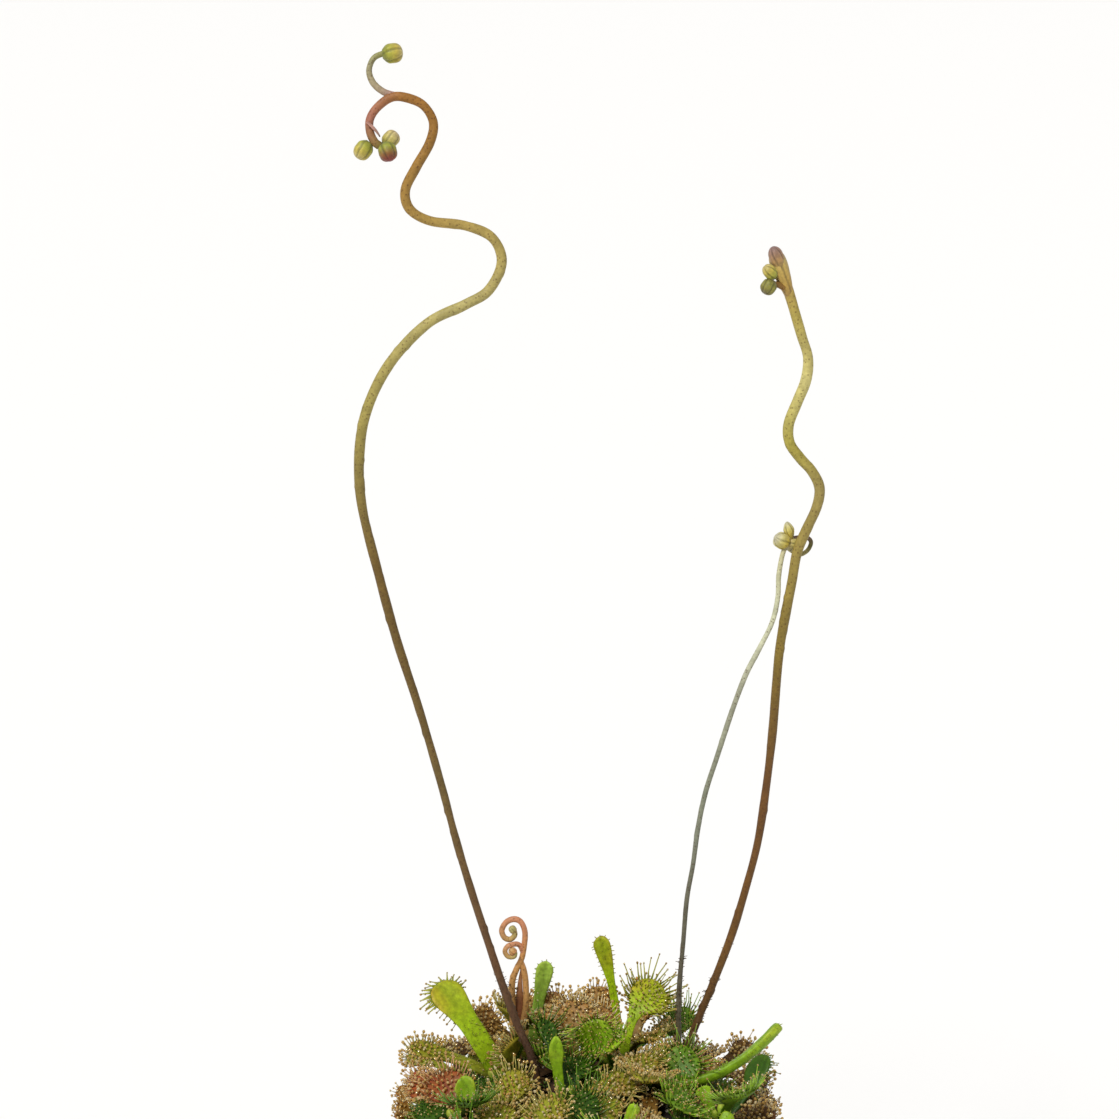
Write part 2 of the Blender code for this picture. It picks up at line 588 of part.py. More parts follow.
def leaf_by_rule(rosette, kind, turn, lift, length, width):
    """A leaf that leaves its crown in the direction turn, rises at the angle lift and leans to the light."""
    shape = KINDS[kind]
    outward = np.array([math.cos(turn), math.sin(turn), 0.0])
    up = np.array([0.0, 0.0, 1.0])
    base = crown_top(rosette) + outward * BASE_OFFSET - up * BASE_SUNK
    tip = base + length * (outward * math.cos(lift) + up * math.sin(lift))
    bow = up * length * RULE_BOW_UP - outward * length * RULE_BOW_IN
    facing = up * math.cos(lift * RULE_FACING) - outward * math.sin(lift * RULE_FACING)
    facing = facing + RULE_LEAN * np.array([0.0, -1.0, 0.0])
    places = (tuple(part) for part in (base, tip, bow, facing))
    return Leaf(rosette, kind, *places, width, shape.petiole, shape.thick)


def candidates(rosette, kind, turn, draw):
    """One leaf drawn for its kind, then the same leaf raised, swung and shortened step by step."""
    shape = KINDS[kind]
    length = draw.uniform(*shape.length)
    lift = math.radians(draw.uniform(*shape.lift))
    width = draw.uniform(*shape.width)
    turn = turn + math.radians(draw.uniform(-10, 10))
    tries = []
    for shorter in SHORTER:
        for raised in RAISED:
            for swing in SWUNG:
                strain = abs(raised) / RAISED[1] + abs(swing) / SWUNG[1] + (1 - shorter) * 9
                tries.append((strain, shorter, raised, swing))
    for _, shorter, raised, swing in sorted(tries):
        size = width * min(1.0, shorter + 0.15)
        yield leaf_by_rule(rosette, kind, turn + math.radians(swing), lift + math.radians(raised),
                           length * shorter, size)


def rule_turns(rosette, taken, count):
    """Directions round a crown, a golden angle apart, that lie clear of the placed leaves."""
    start = math.radians(TURN_STEP * list(CROWNS).index(rosette))
    turns = []
    step = 0
    while len(turns) < count:
        turn = start + step * GOLDEN_ANGLE
        step += 1
        apart = [abs((turn - other + math.pi) % (2 * math.pi) - math.pi) for other in taken]
        if not apart or min(apart) > TURN_CLEAR or step > TURNS_TRIED:
            turns.append(turn)
    return turns


def lay_out_leaves():
    """Every leaf: the placed ones, then each rosette's others wherever one fits."""
    draw = random.Random(LAYOUT_SEED)
    fixed = fixed_trees()
    leaves = [placed_leaf(*values) for values in PLACED_LEAVES]
    trees = [test_tree(leaf) for leaf in leaves]
    for rosette in CROWNS:
        own = [leaf for leaf in leaves if leaf.rosette == rosette]
        kinds = ["old"] * len(ROSETTE_KINDS) if rosette in LOW_ROSETTES else list(ROSETTE_KINDS)
        for leaf in own:
            kinds.remove(leaf.kind if leaf.kind in kinds else kinds[-1])
        taken = [math.atan2(leaf.tip[1] - leaf.base[1], leaf.tip[0] - leaf.base[0]) for leaf in own]
        for kind, turn in zip(kinds, rule_turns(rosette, taken, len(kinds))):
            for leaf in candidates(rosette, kind, turn, draw):
                if is_clear(leaf, leaves, trees, fixed):
                    leaves.append(leaf)
                    trees.append(test_tree(leaf))
                    break
    return leaves, trees, fixed


def hair_ends(leaf):
    """Root and tip of each tentacle: on the margin they point outward, on the face upward."""
    start, full = leaf_marks(leaf)
    shape = KINDS[leaf.kind]
    ends = []
    for share, side in HAIR_SITES[:shape.hairs]:
        along = start + share * 0.97 * (1 - start)
        point, forward, across, outward = (axis[0] for axis in leaf_axes(leaf, [along]))
        half = leaf_half_width(leaf, [along])[0]
        onward = max(0.0, (along - full) / (1 - full))
        lean = unit(across * side + outward * (1.2 - abs(side) * 0.5) + forward * (0.15 + 1.3 * onward))
        root = point + across * side * half * HAIR_EDGE + outward * shape.cup * half * side * side
        on_margin = abs(side) > 0.5 or share == 1.0
        length = HAIR_LENGTHS[leaf.kind] * (1.0 if on_margin else FACE_HAIR)
        ends.append((root - lean * HAIR_SUNK + outward * 0.1, root + lean * length))
    return ends


def hair_is_clear(ends, rosette, leaves, trees, fixed, taken):
    """Whether a tentacle stays clear of every other rosette, of the stalks, soil and pot."""
    root, tip = ends
    samples = [root + (tip - root) * share for share in (0.45, 0.75, 1.0)]
    others = [tree for leaf, tree in zip(leaves, trees) if leaf.rosette != rosette]
    ahead = Vector(unit(tip - root))
    reach = float(np.linalg.norm(tip - root)) + HAIR_CLEAR
    for tree in fixed + others:
        if tree.ray_cast(Vector(root), ahead, reach)[0] is not None:
            return False
        for sample in samples:
            if tree.find_nearest(Vector(sample), HAIR_CLEAR + HAIR_TIP_RADIUS)[0] is not None:
                return False
    for other, (other_root, other_tip) in taken:
        if other == rosette:
            continue
        run = other_tip - other_root
        for sample in samples:
            share = np.clip(np.dot(sample - other_root, run) / np.dot(run, run), 0, 1)
            if np.linalg.norm(sample - other_root - run * share) < HAIR_SPACING:
                return False
    return True


def make_rosette(name, leaves, hairs, material):
    """One rosette: its stem, leaves and tentacles joined in one body."""
    rosette = add_object("rosette_" + name, *crown_mesh(name), material)
    pieces = [add_object("leaf", *leaf_mesh(leaf)) for leaf in leaves]
    for root, tip in hairs:
        pieces.append(add_object("hair", *tube_mesh([root, tip], (HAIR_ROOT_RADIUS, HAIR_TIP_RADIUS), 3)))
    boolean(rosette, pieces, "UNION", "MANIFOLD")
    drop_scraps(rosette)
    shade(rosette)
    return rosette


def make_rosettes(material):
    """All rosettes, each clear of the others."""
    leaves, trees, fixed = lay_out_leaves()
    taken = []
    for name in CROWNS:
        own = [leaf for leaf in leaves if leaf.rosette == name]
        hairs = []
        for leaf in own:
            for ends in hair_ends(leaf):
                if hair_is_clear(ends, name, leaves, trees, fixed, taken):
                    hairs.append(ends)
                    taken.append((name, ends))
        make_rosette(name, own, hairs, material)


def make_stalk(name, tubes, buds, material):
    """One stalk: its tubes and buds joined in one body."""
    meshes = [tube_mesh(smooth_route(route), radii, STALK_SIDES) for route, radii in tubes]
    stalk = add_object(name, *meshes[0], material)
    pieces = [add_object("branch", *mesh) for mesh in meshes[1:]]
    pieces += [add_object("bud", *bud_mesh(*bud)) for bud in buds]
    boolean(stalk, pieces, "UNION", "MANIFOLD")
    drop_scraps(stalk)
    shade(stalk)
    return stalk


def main():
    """Build the pot, the soil, the rosettes and the stalks."""
    clear_scene()
    make_pot(make_material("charcoal_plastic", (0.018, 0.018, 0.019), 0.55))
    make_soil(make_material("peat_and_sand", (0.035, 0.022, 0.013), 0.95))
    make_rosettes(make_material("sundew_leaf", (0.17, 0.24, 0.03), 0.45))
    olive = make_material("olive_stalk", (0.26, 0.19, 0.06), 0.5)
    pale = make_material("pale_stalk", (0.42, 0.40, 0.22), 0.5)
    orange = make_material("orange_stalk", (0.42, 0.14, 0.07), 0.5)
    make_stalk("stalk_left", ((LEFT_ROUTE, LEFT_RADII), (LEFT_FORK, (0.5, 0.42))), LEFT_BUDS, olive)
    make_stalk("stalk_right", ((RIGHT_ROUTE, RIGHT_RADII),), RIGHT_BUDS, olive)
    make_stalk("stalk_thin", ((THIN_ROUTE, THIN_RADII),), THIN_BUDS, pale)
    young = ((YOUNG_ROUTE, YOUNG_RADII), (YOUNG_STRAND, (0.5, 0.5)), (YOUNG_CURL, (0.42, 0.38)))
    make_stalk("stalk_young", young, (), orange)


main()
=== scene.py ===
"""Potted spoon-leaved sundew, dressed: fine leaves with their tentacles and dew, flower stalks with
buds, the growing medium with its thatch and moss, and the moulded nursery pot.

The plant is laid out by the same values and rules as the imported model, so each leaf lies where its
solid does. Lengths are in millimetres until a mesh is made, where MM turns them to metres.
"""

import json
import math
import random
from collections import namedtuple

import bpy
import numpy as np
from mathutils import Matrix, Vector
from mathutils.bvhtree import BVHTree

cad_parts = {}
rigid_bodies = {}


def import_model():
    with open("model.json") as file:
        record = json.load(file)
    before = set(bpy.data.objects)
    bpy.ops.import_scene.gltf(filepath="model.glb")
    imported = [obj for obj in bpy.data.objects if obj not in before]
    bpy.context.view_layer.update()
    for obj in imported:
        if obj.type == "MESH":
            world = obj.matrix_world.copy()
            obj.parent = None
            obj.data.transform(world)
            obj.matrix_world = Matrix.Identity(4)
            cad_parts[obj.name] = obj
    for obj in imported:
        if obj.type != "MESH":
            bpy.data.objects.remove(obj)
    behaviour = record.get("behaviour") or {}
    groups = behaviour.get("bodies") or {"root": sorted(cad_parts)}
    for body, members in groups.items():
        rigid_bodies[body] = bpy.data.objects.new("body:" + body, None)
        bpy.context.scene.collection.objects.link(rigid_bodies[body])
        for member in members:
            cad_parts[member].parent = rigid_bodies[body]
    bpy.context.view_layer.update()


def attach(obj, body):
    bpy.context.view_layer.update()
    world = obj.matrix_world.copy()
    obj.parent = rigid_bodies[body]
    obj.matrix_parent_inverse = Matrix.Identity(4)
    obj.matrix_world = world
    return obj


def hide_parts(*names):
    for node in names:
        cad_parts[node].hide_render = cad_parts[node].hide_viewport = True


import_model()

MM = 0.001
BODY = "root"

# Pot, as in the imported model
POT_HEIGHT = 57.0
RIM_RADIUS = 31.0
FOOT_RADIUS = 21.0
WALL = 1.2
COLLAR_HEIGHT = 10.0
COLLAR_STEP = 1.5
COLLAR_TAPER = 0.4
FLOOR = 1.6
DRAIN_HOLES = 4
DRAIN_RADIUS = 2.6
DRAIN_CIRCLE = 13.0

# Growing medium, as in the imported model
SOIL_EDGE_Z = 55.0
SOIL_RISE = 7.6
TUSSOCK_RISE = 1.8
TUSSOCK_SPREAD = 4.5

# Crowns, where each rosette's short stem stands
CROWNS = {
    "left": (-18.5, -8.0),
    "mid_left": (-12.5, 4.0),
    "mid": (-3.0, -5.5),
    "back_left": (-9.5, 18.0),
    "back_right": (6.5, 19.5),
    "centre": (5.0, 8.0),
    "stalks": (11.5, 1.5),
    "right": (20.0, -7.5),
    "front_left": (-12.5, -19.0),
    "front": (3.5, -19.5),
    "front_right": (17.5, -18.5),
    "rear_left": (-20.5, 12.0),
    "rear_right": (19.5, 14.0),
    "heart": (-2.5, 5.5),
}
# Seedlings: small rosettes between the crowns and along the rim, in the scene alone
SEEDLINGS = {
    "seedling_%d" % number: place for number, place in enumerate((
        (-25.4, 2.2), (-25.0, -4.4), (-22.6, 6.4), (-22.5, -15.5), (-5.0, -26.0), (11.0, -25.6),
        (25.6, 1.0), (25.0, 8.0), (25.0, -13.0), (11.5, -9.5), (-6.8, -13.2), (-2.0, 26.6),
        (13.5, 24.0), (-16.5, 21.5), (-12.6, -3.6), (4.2, -1.0), (10.4, -15.0), (-19.6, 2.2),
        (-12.8, -11.8), (-25.4, 9.6), (20.6, 3.4), (-3.4, -18.6)))
}
STANDS = {**CROWNS, **SEEDLINGS}
SEEDLING_LEAVES = 7
# How far a crown stands out of the soil, and how far out and down from its top a leaf starts
CROWN_STAND = 1.3
BASE_OFFSET = 0.9
BASE_SUNK = 0.6
CROWN_RADIUS = 2.6
CROWN_DEPTH = 7.0
CROWN_SIDES = 8

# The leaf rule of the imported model: the share of the thickness at its edges and of the width at its tip,
# where the lamina starts, its section's corners, and the margins that a new leaf keeps
EDGE_SHARE = 0.7
TIP_SHARE = 0.35
LAMINA_START = 0.36
SECTION = ((-1, 1), (0, 1), (1, 1), (1, -1), (0, -1), (-1, -1))
TEST_MARGIN = 0.2
FIT_GAP = 0.3
POT_SIDES = 32
SOIL_SIDES = 24
SOIL_RINGS = (24.0, 18.0, 12.0, 5.0)
SHOULDER = (1.6, 2.4)
# How the leaves that aren't placed one by one turn, rise and lean, and what is tried until one fits
LAYOUT_SEED = 11
GOLDEN_ANGLE = math.radians(137.5)
TURN_STEP = 40
TURN_CLEAR = math.radians(24)
TURNS_TRIED = 12
RULE_BOW_UP = 0.17
RULE_BOW_IN = 0.05
RULE_FACING = 0.8
RULE_LEAN = 0.45
SHORTER = (1.0, 0.85, 0.72, 0.6)
RAISED = (0, 12, -8, 24, 36)
SWUNG = (0, 14, -14, 28, -28)

Leaf = namedtuple("Leaf", "rosette kind base tip bow facing width petiole thick tone")
Kind = namedtuple("Kind", "length lift width petiole thick cup")
Tone = namedtuple("Tone", "petiole lamina blush stem gland wet")
Growth = namedtuple("Growth", "apart lengths thick face_apart face_lengths drops")
Hairs = namedtuple("Hairs", "roots aims bends lengths thick drops reds")
Bud = namedtuple("Bud", "centre pointing length width codes turn low shoulder blunt",
                 defaults=(0.45, 0.35, 2.4))
Bract = namedtuple("Bract", "foot tip facing width codes curl")
Stalk = namedtuple("Stalk", "tubes buds bracts hairs slot")
Skin = namedtuple("Skin", "points quads triangles tint")

# What each kind of leaf measures: length, lift in degrees, width, petiole width, thickness, cupping
KINDS = {
    "young": Kind((6.0, 8.0), (58, 74), (2.2, 2.8), 1.5, 1.0, 0.35),
    "mature": Kind((9.5, 12.5), (22, 46), (5.2, 6.4), 1.9, 0.9, 0.16),
    "old": Kind((8.5, 11.5), (0, 14), (4.6, 5.6), 1.7, 0.9, 0.08),
    "seedling": Kind((3.2, 5.6), (12, 50), (1.9, 2.9), 0.8, 0.5, 0.2),
}
ROSETTE_KINDS = ("young", "mature", "mature", "mature", "old", "old")
LOW_ROSETTES = ("rear_left", "rear_right")

# Leaf colours: petiole, lamina, the blush on it, tentacle stem and gland; last, how far its drops swell
TONES = {
    "lime": Tone("#92ae14", "#97a61c", "#a68c22", "#aca644", "#553a1e", 0.72),
    "mint": Tone("#88a83c", "#9cbc46", "#a8b448", "#a8b848", "#8a8a3c", 0.8),
    "fresh": Tone("#7a9e18", "#80a41a", "#98a62a", "#98ac30", "#8a8a2c", 0.8),
    "spring": Tone("#749c1a", "#84ac1c", "#94a824", "#a6be38", "#b2b044", 0.6),
    "green": Tone("#4e7010", "#527612", "#70841e", "#88aa2c", "#98983a", 0.62),
    "deep": Tone("#28440a", "#2f4e0b", "#44600f", "#5c8218", "#747c26", 0.5),
    "olive": Tone("#7a7e1c", "#868a20", "#927a28", "#c0b062", "#b08c4c", 0.95),
    "tan": Tone("#745622", "#805c22", "#925a2a", "#dac082", "#b8884e", 1.0),
    "rust": Tone("#743e1a", "#8e5426", "#a0402a", "#d6a876", "#9c5040", 0.95),
    "straw": Tone("#8c6c32", "#9a7438", "#a06c3a", "#ecd8a6", "#cc9c62", 1.0),
    "brown": Tone("#4e3614", "#563c16", "#663c1e", "#c2a468", "#8c6038", 0.95),
}
# Tones of the rule's leaves on the sides that the patches below leave out
OPEN_TONES = {
    "young": ("fresh", "fresh", "green"),
    "mature": ("green", "olive", "tan", "spring", "olive"),
    "old": ("olive", "brown", "tan", "olive"),
    "seedling": ("green", "olive", "rust", "fresh"),
}
BACK_Y = 15.0
# How far out along a leaf its place among the patches is read
TONE_SPOT = 0.75
# Patches of the front, each by its x and its height as seen from CAMERA_DROP above, and its tone
CAMERA_DROP = math.radians(12)
PATCHES = (
    ((-17, 67), "tan"), ((-26, 65), "rust"), ((-29, 62), "tan"), ((-24, 61), "deep"), ((-16, 64), "deep"),
    ((-10, 70), "olive"), ((-2, 75), "straw"), ((-8, 69), "green"), ((2, 72), "spring"), ((0, 68), "deep"),
    ((-6, 61), "olive"), ((-11, 61), "olive"), ((10, 68), "olive"), ((5, 62), "green"), ((10, 62), "tan"),
    ((12, 64), "green"), ((17, 62), "deep"), ((22, 64), "green"), ((27, 61), "brown"), ((-23, 56), "rust"),
    ((11, 49), "olive"), ((17, 55), "green"), ((28, 55), "brown"),
)

# The leaves placed one by one: rosette, kind, tip, bow, facing, width, petiole width, thickness, tone
PLACED_LEAVES = (
    ("mid_left", "mature", (-23.6, 9.4, 78.8), (0, -1, 3), (0.35, -0.75, 0.55), 5.6, 3.6, 1.0, "lime"),
    ("mid_left", "mature", (-27.6, 5.0, 70.0), (0, 0, 1.6), (0, -0.3, 0.95), 4.0, 2.2, 1.2, "olive"),
    ("left", "old", (-27.4, -1.2, 66.2), (1, 0.5, 3), (-0.2, -0.5, 0.85), 4.8, 1.8, 0.9, "rust"),
    ("left", "young", (-19.4, -7.4, 70.2), (2.2, -0.6, 1.0), (-0.3, -0.8, 0.5), 3.4, 2.6, 1.1, "fresh"),
    ("left", "old", (-26.2, -7.0, 64.4), (0, 0, 1.6), (-0.1, -0.3, 0.95), 5.4, 1.9, 0.9, "deep"),
    ("left", "mature", (-22.8, -2.2, 68.6), (0, -1, 1), (0, -0.75, 0.65), 6.4, 2.4, 0.9, "rust"),
    ("back_left", "young", (-6.4, 20.8, 78.6), (-0.4, 0.8, 0), (0.1, -0.9, 0.3), 2.8, 1.8, 1.0, "mint"),
    ("back_left", "old", (-18.2, 15.6, 70.8), (0, 0, 3), (-0.1, -0.6, 0.8), 5.6, 2.0, 0.9, "straw"),
    ("back_left", "old", (-3.4, 21.0, 72.4), (0, 0, 2), (0, -0.75, 0.65), 6.4, 2.0, 0.9, "straw"),
    ("back_left", "old", (-10.4, 25.0, 71.2), (0, 0, 2), (0, -0.6, 0.8), 6.0, 2.0, 0.9, "straw"),
    ("back_right", "young", (2.2, 21.2, 82.7), (1, 0.6, 0), (-0.2, -0.95, 0.2), 2.8, 1.3, 1.0, "lime"),
    ("back_right", "old", (0.0, 23.6, 72.4), (0, 0, 2), (0, -0.75, 0.65), 6.2, 2.0, 0.9, "straw"),
    ("back_right", "old", (10.8, 25.2, 72.2), (0, 0, 2), (0, -0.6, 0.8), 6.0, 2.0, 0.9, "straw"),
    ("centre", "mature", (12.4, 14.2, 76.0), (-2.8, -1, 5.2), (0.1, -0.62, 0.78), 6.6, 1.6, 0.9, "lime"),
    ("centre", "mature", (-0.4, 13.2, 72.8), (0, -0.5, 2), (0, -0.7, 0.7), 6.8, 2.2, 0.9, "straw"),
    ("centre", "mature", (9.2, -1.8, 68.6), (0, 0, 4), (0, -0.2, 0.98), 6.0, 2.0, 0.9, "olive"),
    ("mid", "young", (-4.8, -3.6, 75.4), (-0.8, 0.3, 0), (0, -1, 0.1), 2.9, 1.6, 1.0, "fresh"),
    ("mid", "mature", (-6.9, 4.6, 74.8), (0.6, -1, 1), (0.4, -0.8, 0.4), 3.0, 2.0, 1.0, "deep"),
    ("mid", "mature", (7.2, -6.0, 67.6), (0, 0, 3.4), (0, -0.3, 0.95), 5.6, 2.0, 0.9, "olive"),
    ("stalks", "young", (30.0, 4.2, 74.2), (1.2, -2.4, -3.6), (-0.5, 0.2, 0.85), 2.8, 1.9, 1.5, "fresh"),
    ("stalks", "mature", (17.0, 3.6, 69.4), (0, -0.5, 1.6), (0.1, -0.7, 0.7), 6.2, 2.2, 0.9, "green"),
    ("stalks", "old", (20.6, 8.0, 66.0), (0, -1, 2.0), (0.1, -0.3, 0.95), 5.0, 1.9, 0.9, "tan"),
    ("right", "mature", (27.4, -1.2, 71.4), (0.5, -1, -1), (-0.45, -0.3, 0.8), 4.4, 2.2, 1.0, "deep"),
    ("right", "young", (17.2, -5.8, 68.0), (-0.5, 0, 1.5), (0.3, -0.8, 0.4), 2.6, 1.6, 1.0, "fresh"),
    ("right", "old", (27.8, -4.0, 64.4), (0, 0, 2.4), (0, -0.2, 0.98), 4.8, 1.9, 0.9, "brown"),
    ("front", "mature", (1.8, -9.6, 67.6), (0, -1, 2), (0, -0.55, 0.83), 6.0, 2.2, 0.9, "olive"),
    ("heart", "old", (-5.2, 13.2, 73.2), (0, 0, 2), (0, -0.75, 0.65), 6.0, 2.0, 0.9, "straw"),
    ("heart", "mature", (1.2, 2.0, 76.0), (2.0, -1.5, 0), (0, -0.8, 0.6), 6.0, 2.0, 0.9, "spring"),
)
# Placed leaves, by their tips, that turn their smooth back to the front
BACKED = ((-23.6, 9.4, 78.8), (30.0, 4.2, 74.2), (27.4, -1.2, 71.4))
# Placed leaves whose fringe differs: its length, its thickness, and how far down the lamina it starts
FRINGES = {
    (-23.6, 9.4, 78.8): (0.72, 1.4, 0.9),
    (27.4, -1.2, 71.4): (0.25, 0.8, 0.8),
    (27.8, -4.0, 64.4): (0.6, 1.0, 0.3),
    (-27.6, 5.0, 70.0): (0.65, 1.0, 0.4),
    (-27.4, -1.2, 66.2): (0.7, 1.0, 0.3),
    (-26.2, -7.0, 64.4): (0.7, 1.0, 0.3),
    (12.4, 14.2, 76.0): (1.1, 1.25, 0.5),
}
PLAIN_FRINGE = (1.0, 1.0, 0.3)
# Placed leaves that are still folded to a spindle, widest in the middle
SPINDLES = ((-4.8, -3.6, 75.4),)

# Fine leaves: points round the section, stations up to the round end, and stations on it. Then how
# square the section is, the margin's waves, the groove, the blush in patches, at the rim and at the end,
# and how far a leaf's colours vary
LEAF_MESH = (16, 20, 9)
SEEDLING_MESH = (10, 10, 6)
EDGE_ROUND = 0.7
WAVE_DEPTH = 0.1
GROOVE_DEPTH = 0.14
GROOVE_WIDTH = 0.16
BLUSH_SIZE = 4.5
BLUSH_PATCH = 0.4
BLUSH_RIM = 0.5
BLUSH_END = 0.25
TONE_VARIES = (0.88, 1.12)
# How much painted shade darkens a leaf at its base, where the leaves crowd, how far up the petiole that
# reaches, and how much darker and how wide its midrib is
BASE_PAINTED_SHADE = 0.74
BASE_REACH = 0.65
VEIN_SHADE = 0.2
VEIN_WIDTH = 0.2
# Crowns: each ring's place along a budding leaf and its girth there, the points round a crown and round
# a small one, how many leaves bud on each, the colours, and a seedling's scale
BUDDING_SHAPE = ((0.0, 0.5), (0.35, 0.8), (0.65, 1.0), (0.85, 0.8), (0.96, 0.45))
CROWN_ROUND = 20
SMALL_ROUND = 8
BUDDING_LEAVES = 5
SMALL_BUDDING = 2
CROWN_COLOURS = ("#2c2012", "#46341a", "#5a5a20")
BUDDING_COLOURS = ("#587818", "#88a428", "#a0a63c")
SEEDLING_SCALE = 0.35
SEEDLING_LEAST = 0.6

# Tentacles: how far apart, how long and how thick round the margin; how far apart and how long on the
# face; and the radii of their drops
GROWTH = {
    "young": Growth(0.75, (0.25, 0.5), 0.09, 1.1, (0.12, 0.18), (0.07, 0.1)),
    "mature": Growth(0.46, (1.7, 2.7), 0.11, 0.68, (0.5, 1.5), (0.2, 0.31)),
    "old": Growth(0.46, (1.0, 1.9), 0.09, 0.66, (0.45, 1.1), (0.22, 0.34)),
    "seedling": Growth(0.6, (0.7, 1.3), 0.07, 0.72, (0.3, 0.6), (0.15, 0.22)),
}
# Where the margin's tentacles root, and how far out those of the face reach, in half widths
MARGIN_ROOTS = 0.93
FACE_ROOTS = 0.88
# Tentacles of the face: how thin, on what run of the lamina, and how far they scatter, rise and vary
FACE_THIN = 0.8
FACE_RUN = (0.25, 0.985)
FACE_SCATTER = 0.3
FACE_RISE = 0.95
FACE_VARIES = (0.85, 1.15)
# How the margin's tentacles rise, how far all aims stray, and how tentacles curl and sit in the skin
MARGIN_RISE = (0.1, 0.8)
AIM_STRAYS = 0.12
HAIR_CURL = (0.05, 0.3)
HAIR_STRAYS = 0.06
HAIR_SUNK = 0.08
# Short hairs on the petioles: how many to a square millimetre, where along and how far aside they root,
# how they lean, and their sizes
PETIOLE_HAIRS = 2.5
PETIOLE_RUN = (0.15, 1.1)
PETIOLE_SIDE = 0.9
PETIOLE_LEAN = 0.3
PETIOLE_LENGTH = (0.25, 0.6)
PETIOLE_THICK = 0.05
PETIOLE_DROP = (0.08, 0.13)
# A tentacle that meets something stops this far short of it, and is left out below the least length
HAIR_GAP = 0.1
LEAST_HAIR = 0.35
RAY_STEP = 0.02
# Tentacle length is times the first, less the second times how far the drops swell
WET_SHORT = 1.45
WET_SHORTER = 0.65
LEAST_DROP = 0.14
# Painted shade darkening a tentacle's foot below its leaf's colour, and each stem ring's place and girth
FOOT_PAINTED_SHADE = 0.35
STEM_SHAPE = ((0.0, 1.6), (0.45, 0.95), (1.0, 0.7))
# Small closed bodies: place, girth and spin of each ring, the places of the two poles, points in a ring
GLAND_SHAPE = (((-0.5, 0.8, 0.0), (0.5, 0.8, 0.0)), (-1.2, 1.1), 4)
DROP_SHAPE = (((-0.5, 0.88, 0.0), (0.5, 0.88, 0.5)), (-1.15, 1.15), 6)
GRAIN_SHAPE = (((-0.45, 1.0, 0.0), (0.45, 1.0, 0.6)), (-1.0, 1.0), 5)
# Drops of glue, from clear amber to a pale cream that is a painted glint
DEW_AND_GLINT_COLOURS = ("#dcb262", "#f2d486", "#fff0be")

# Flower stalks: each route starts in the soil and ends at its tip
STALK_SIDES = 5
SHARP_BEND = 17.0
LEFT_ROUTE = (
    (-7.2, 0.3, 54.5), (-7.2, 0.3, 61.5), (-7.7, 0.4, 66.2), (-8.7, 0.5, 70.6), (-10.6, 1.2, 74.9),
    (-12.7, 2.0, 80.4), (-15.0, 3.0, 87.2), (-17.8, 4.0, 95.9), (-20.0, 4.5, 103.5), (-22.4, 5.0, 112.9),
    (-25.5, 5.0, 124.3), (-28.9, 4.5, 135.7), (-31.7, 4.0, 146.9), (-33.7, 3.0, 156.3), (-34.0, 2.0, 163.7),
    (-32.8, 1.5, 171.0), (-29.3, 1.5, 178.1), (-23.7, 2.0, 184.0), (-18.1, 3.0, 186.7), (-14.7, 4.0, 188.7),
    (-12.8, 5.0, 192.7), (-14.2, 5.0, 196.3), (-18.1, 4.5, 198.1), (-23.2, 3.5, 198.9), (-26.1, 2.5, 200.7),
    (-26.7, 2.0, 203.5), (-25.1, 2.0, 206.8), (-23.1, 2.5, 210.3), (-22.6, 3.0, 213.2), (-24.1, 3.0, 215.7),
    (-26.8, 3.0, 216.8), (-28.8, 3.0, 216.7), (-30.7, 2.5, 215.3), (-31.7, 2.0, 213.7), (-31.7, 1.5, 212.0),
    (-31.1, 1.2, 210.6), (-30.3, 1.2, 209.9),
)
LEFT_FORK = (
    (-27.2, 3.0, 216.9), (-28.4, 3.2, 217.1), (-29.9, 3.6, 217.6), (-31.3, 4.0, 218.8), (-31.9, 4.5, 220.5),
    (-31.3, 5.0, 222.2), (-30.0, 5.2, 222.9), (-28.9, 5.3, 223.0),
)
RIGHT_ROUTE = (
    (14.3, 6.9, 54.5), (14.3, 6.9, 63.0), (14.9, 7.3, 66.2), (16.2, 8.0, 70.2), (17.6, 8.2, 74.0),
    (19.7, 8.5, 79.3), (22.5, 9.0, 87.0), (24.7, 9.0, 94.9), (26.5, 9.0, 102.7), (27.7, 8.5, 112.5),
    (28.4, 8.0, 120.6), (28.8, 7.5, 128.0), (29.2, 7.0, 133.8), (30.0, 6.5, 139.5), (30.8, 6.2, 144.3),
    (31.5, 6.0, 148.9), (32.8, 6.0, 152.3), (34.3, 6.0, 155.8), (34.7, 6.2, 158.7), (33.6, 6.6, 161.1),
    (31.8, 7.0, 163.1), (30.2, 7.2, 165.4), (30.0, 7.2, 168.2), (31.2, 7.0, 171.6), (32.4, 6.5, 175.0),
    (32.6, 6.0, 178.4), (31.6, 5.5, 181.6), (30.6, 5.0, 184.8), (29.8, 5.0, 187.4), (28.9, 5.0, 190.1),
    (28.0, 4.9, 192.6), (27.4, 4.6, 194.6),
)
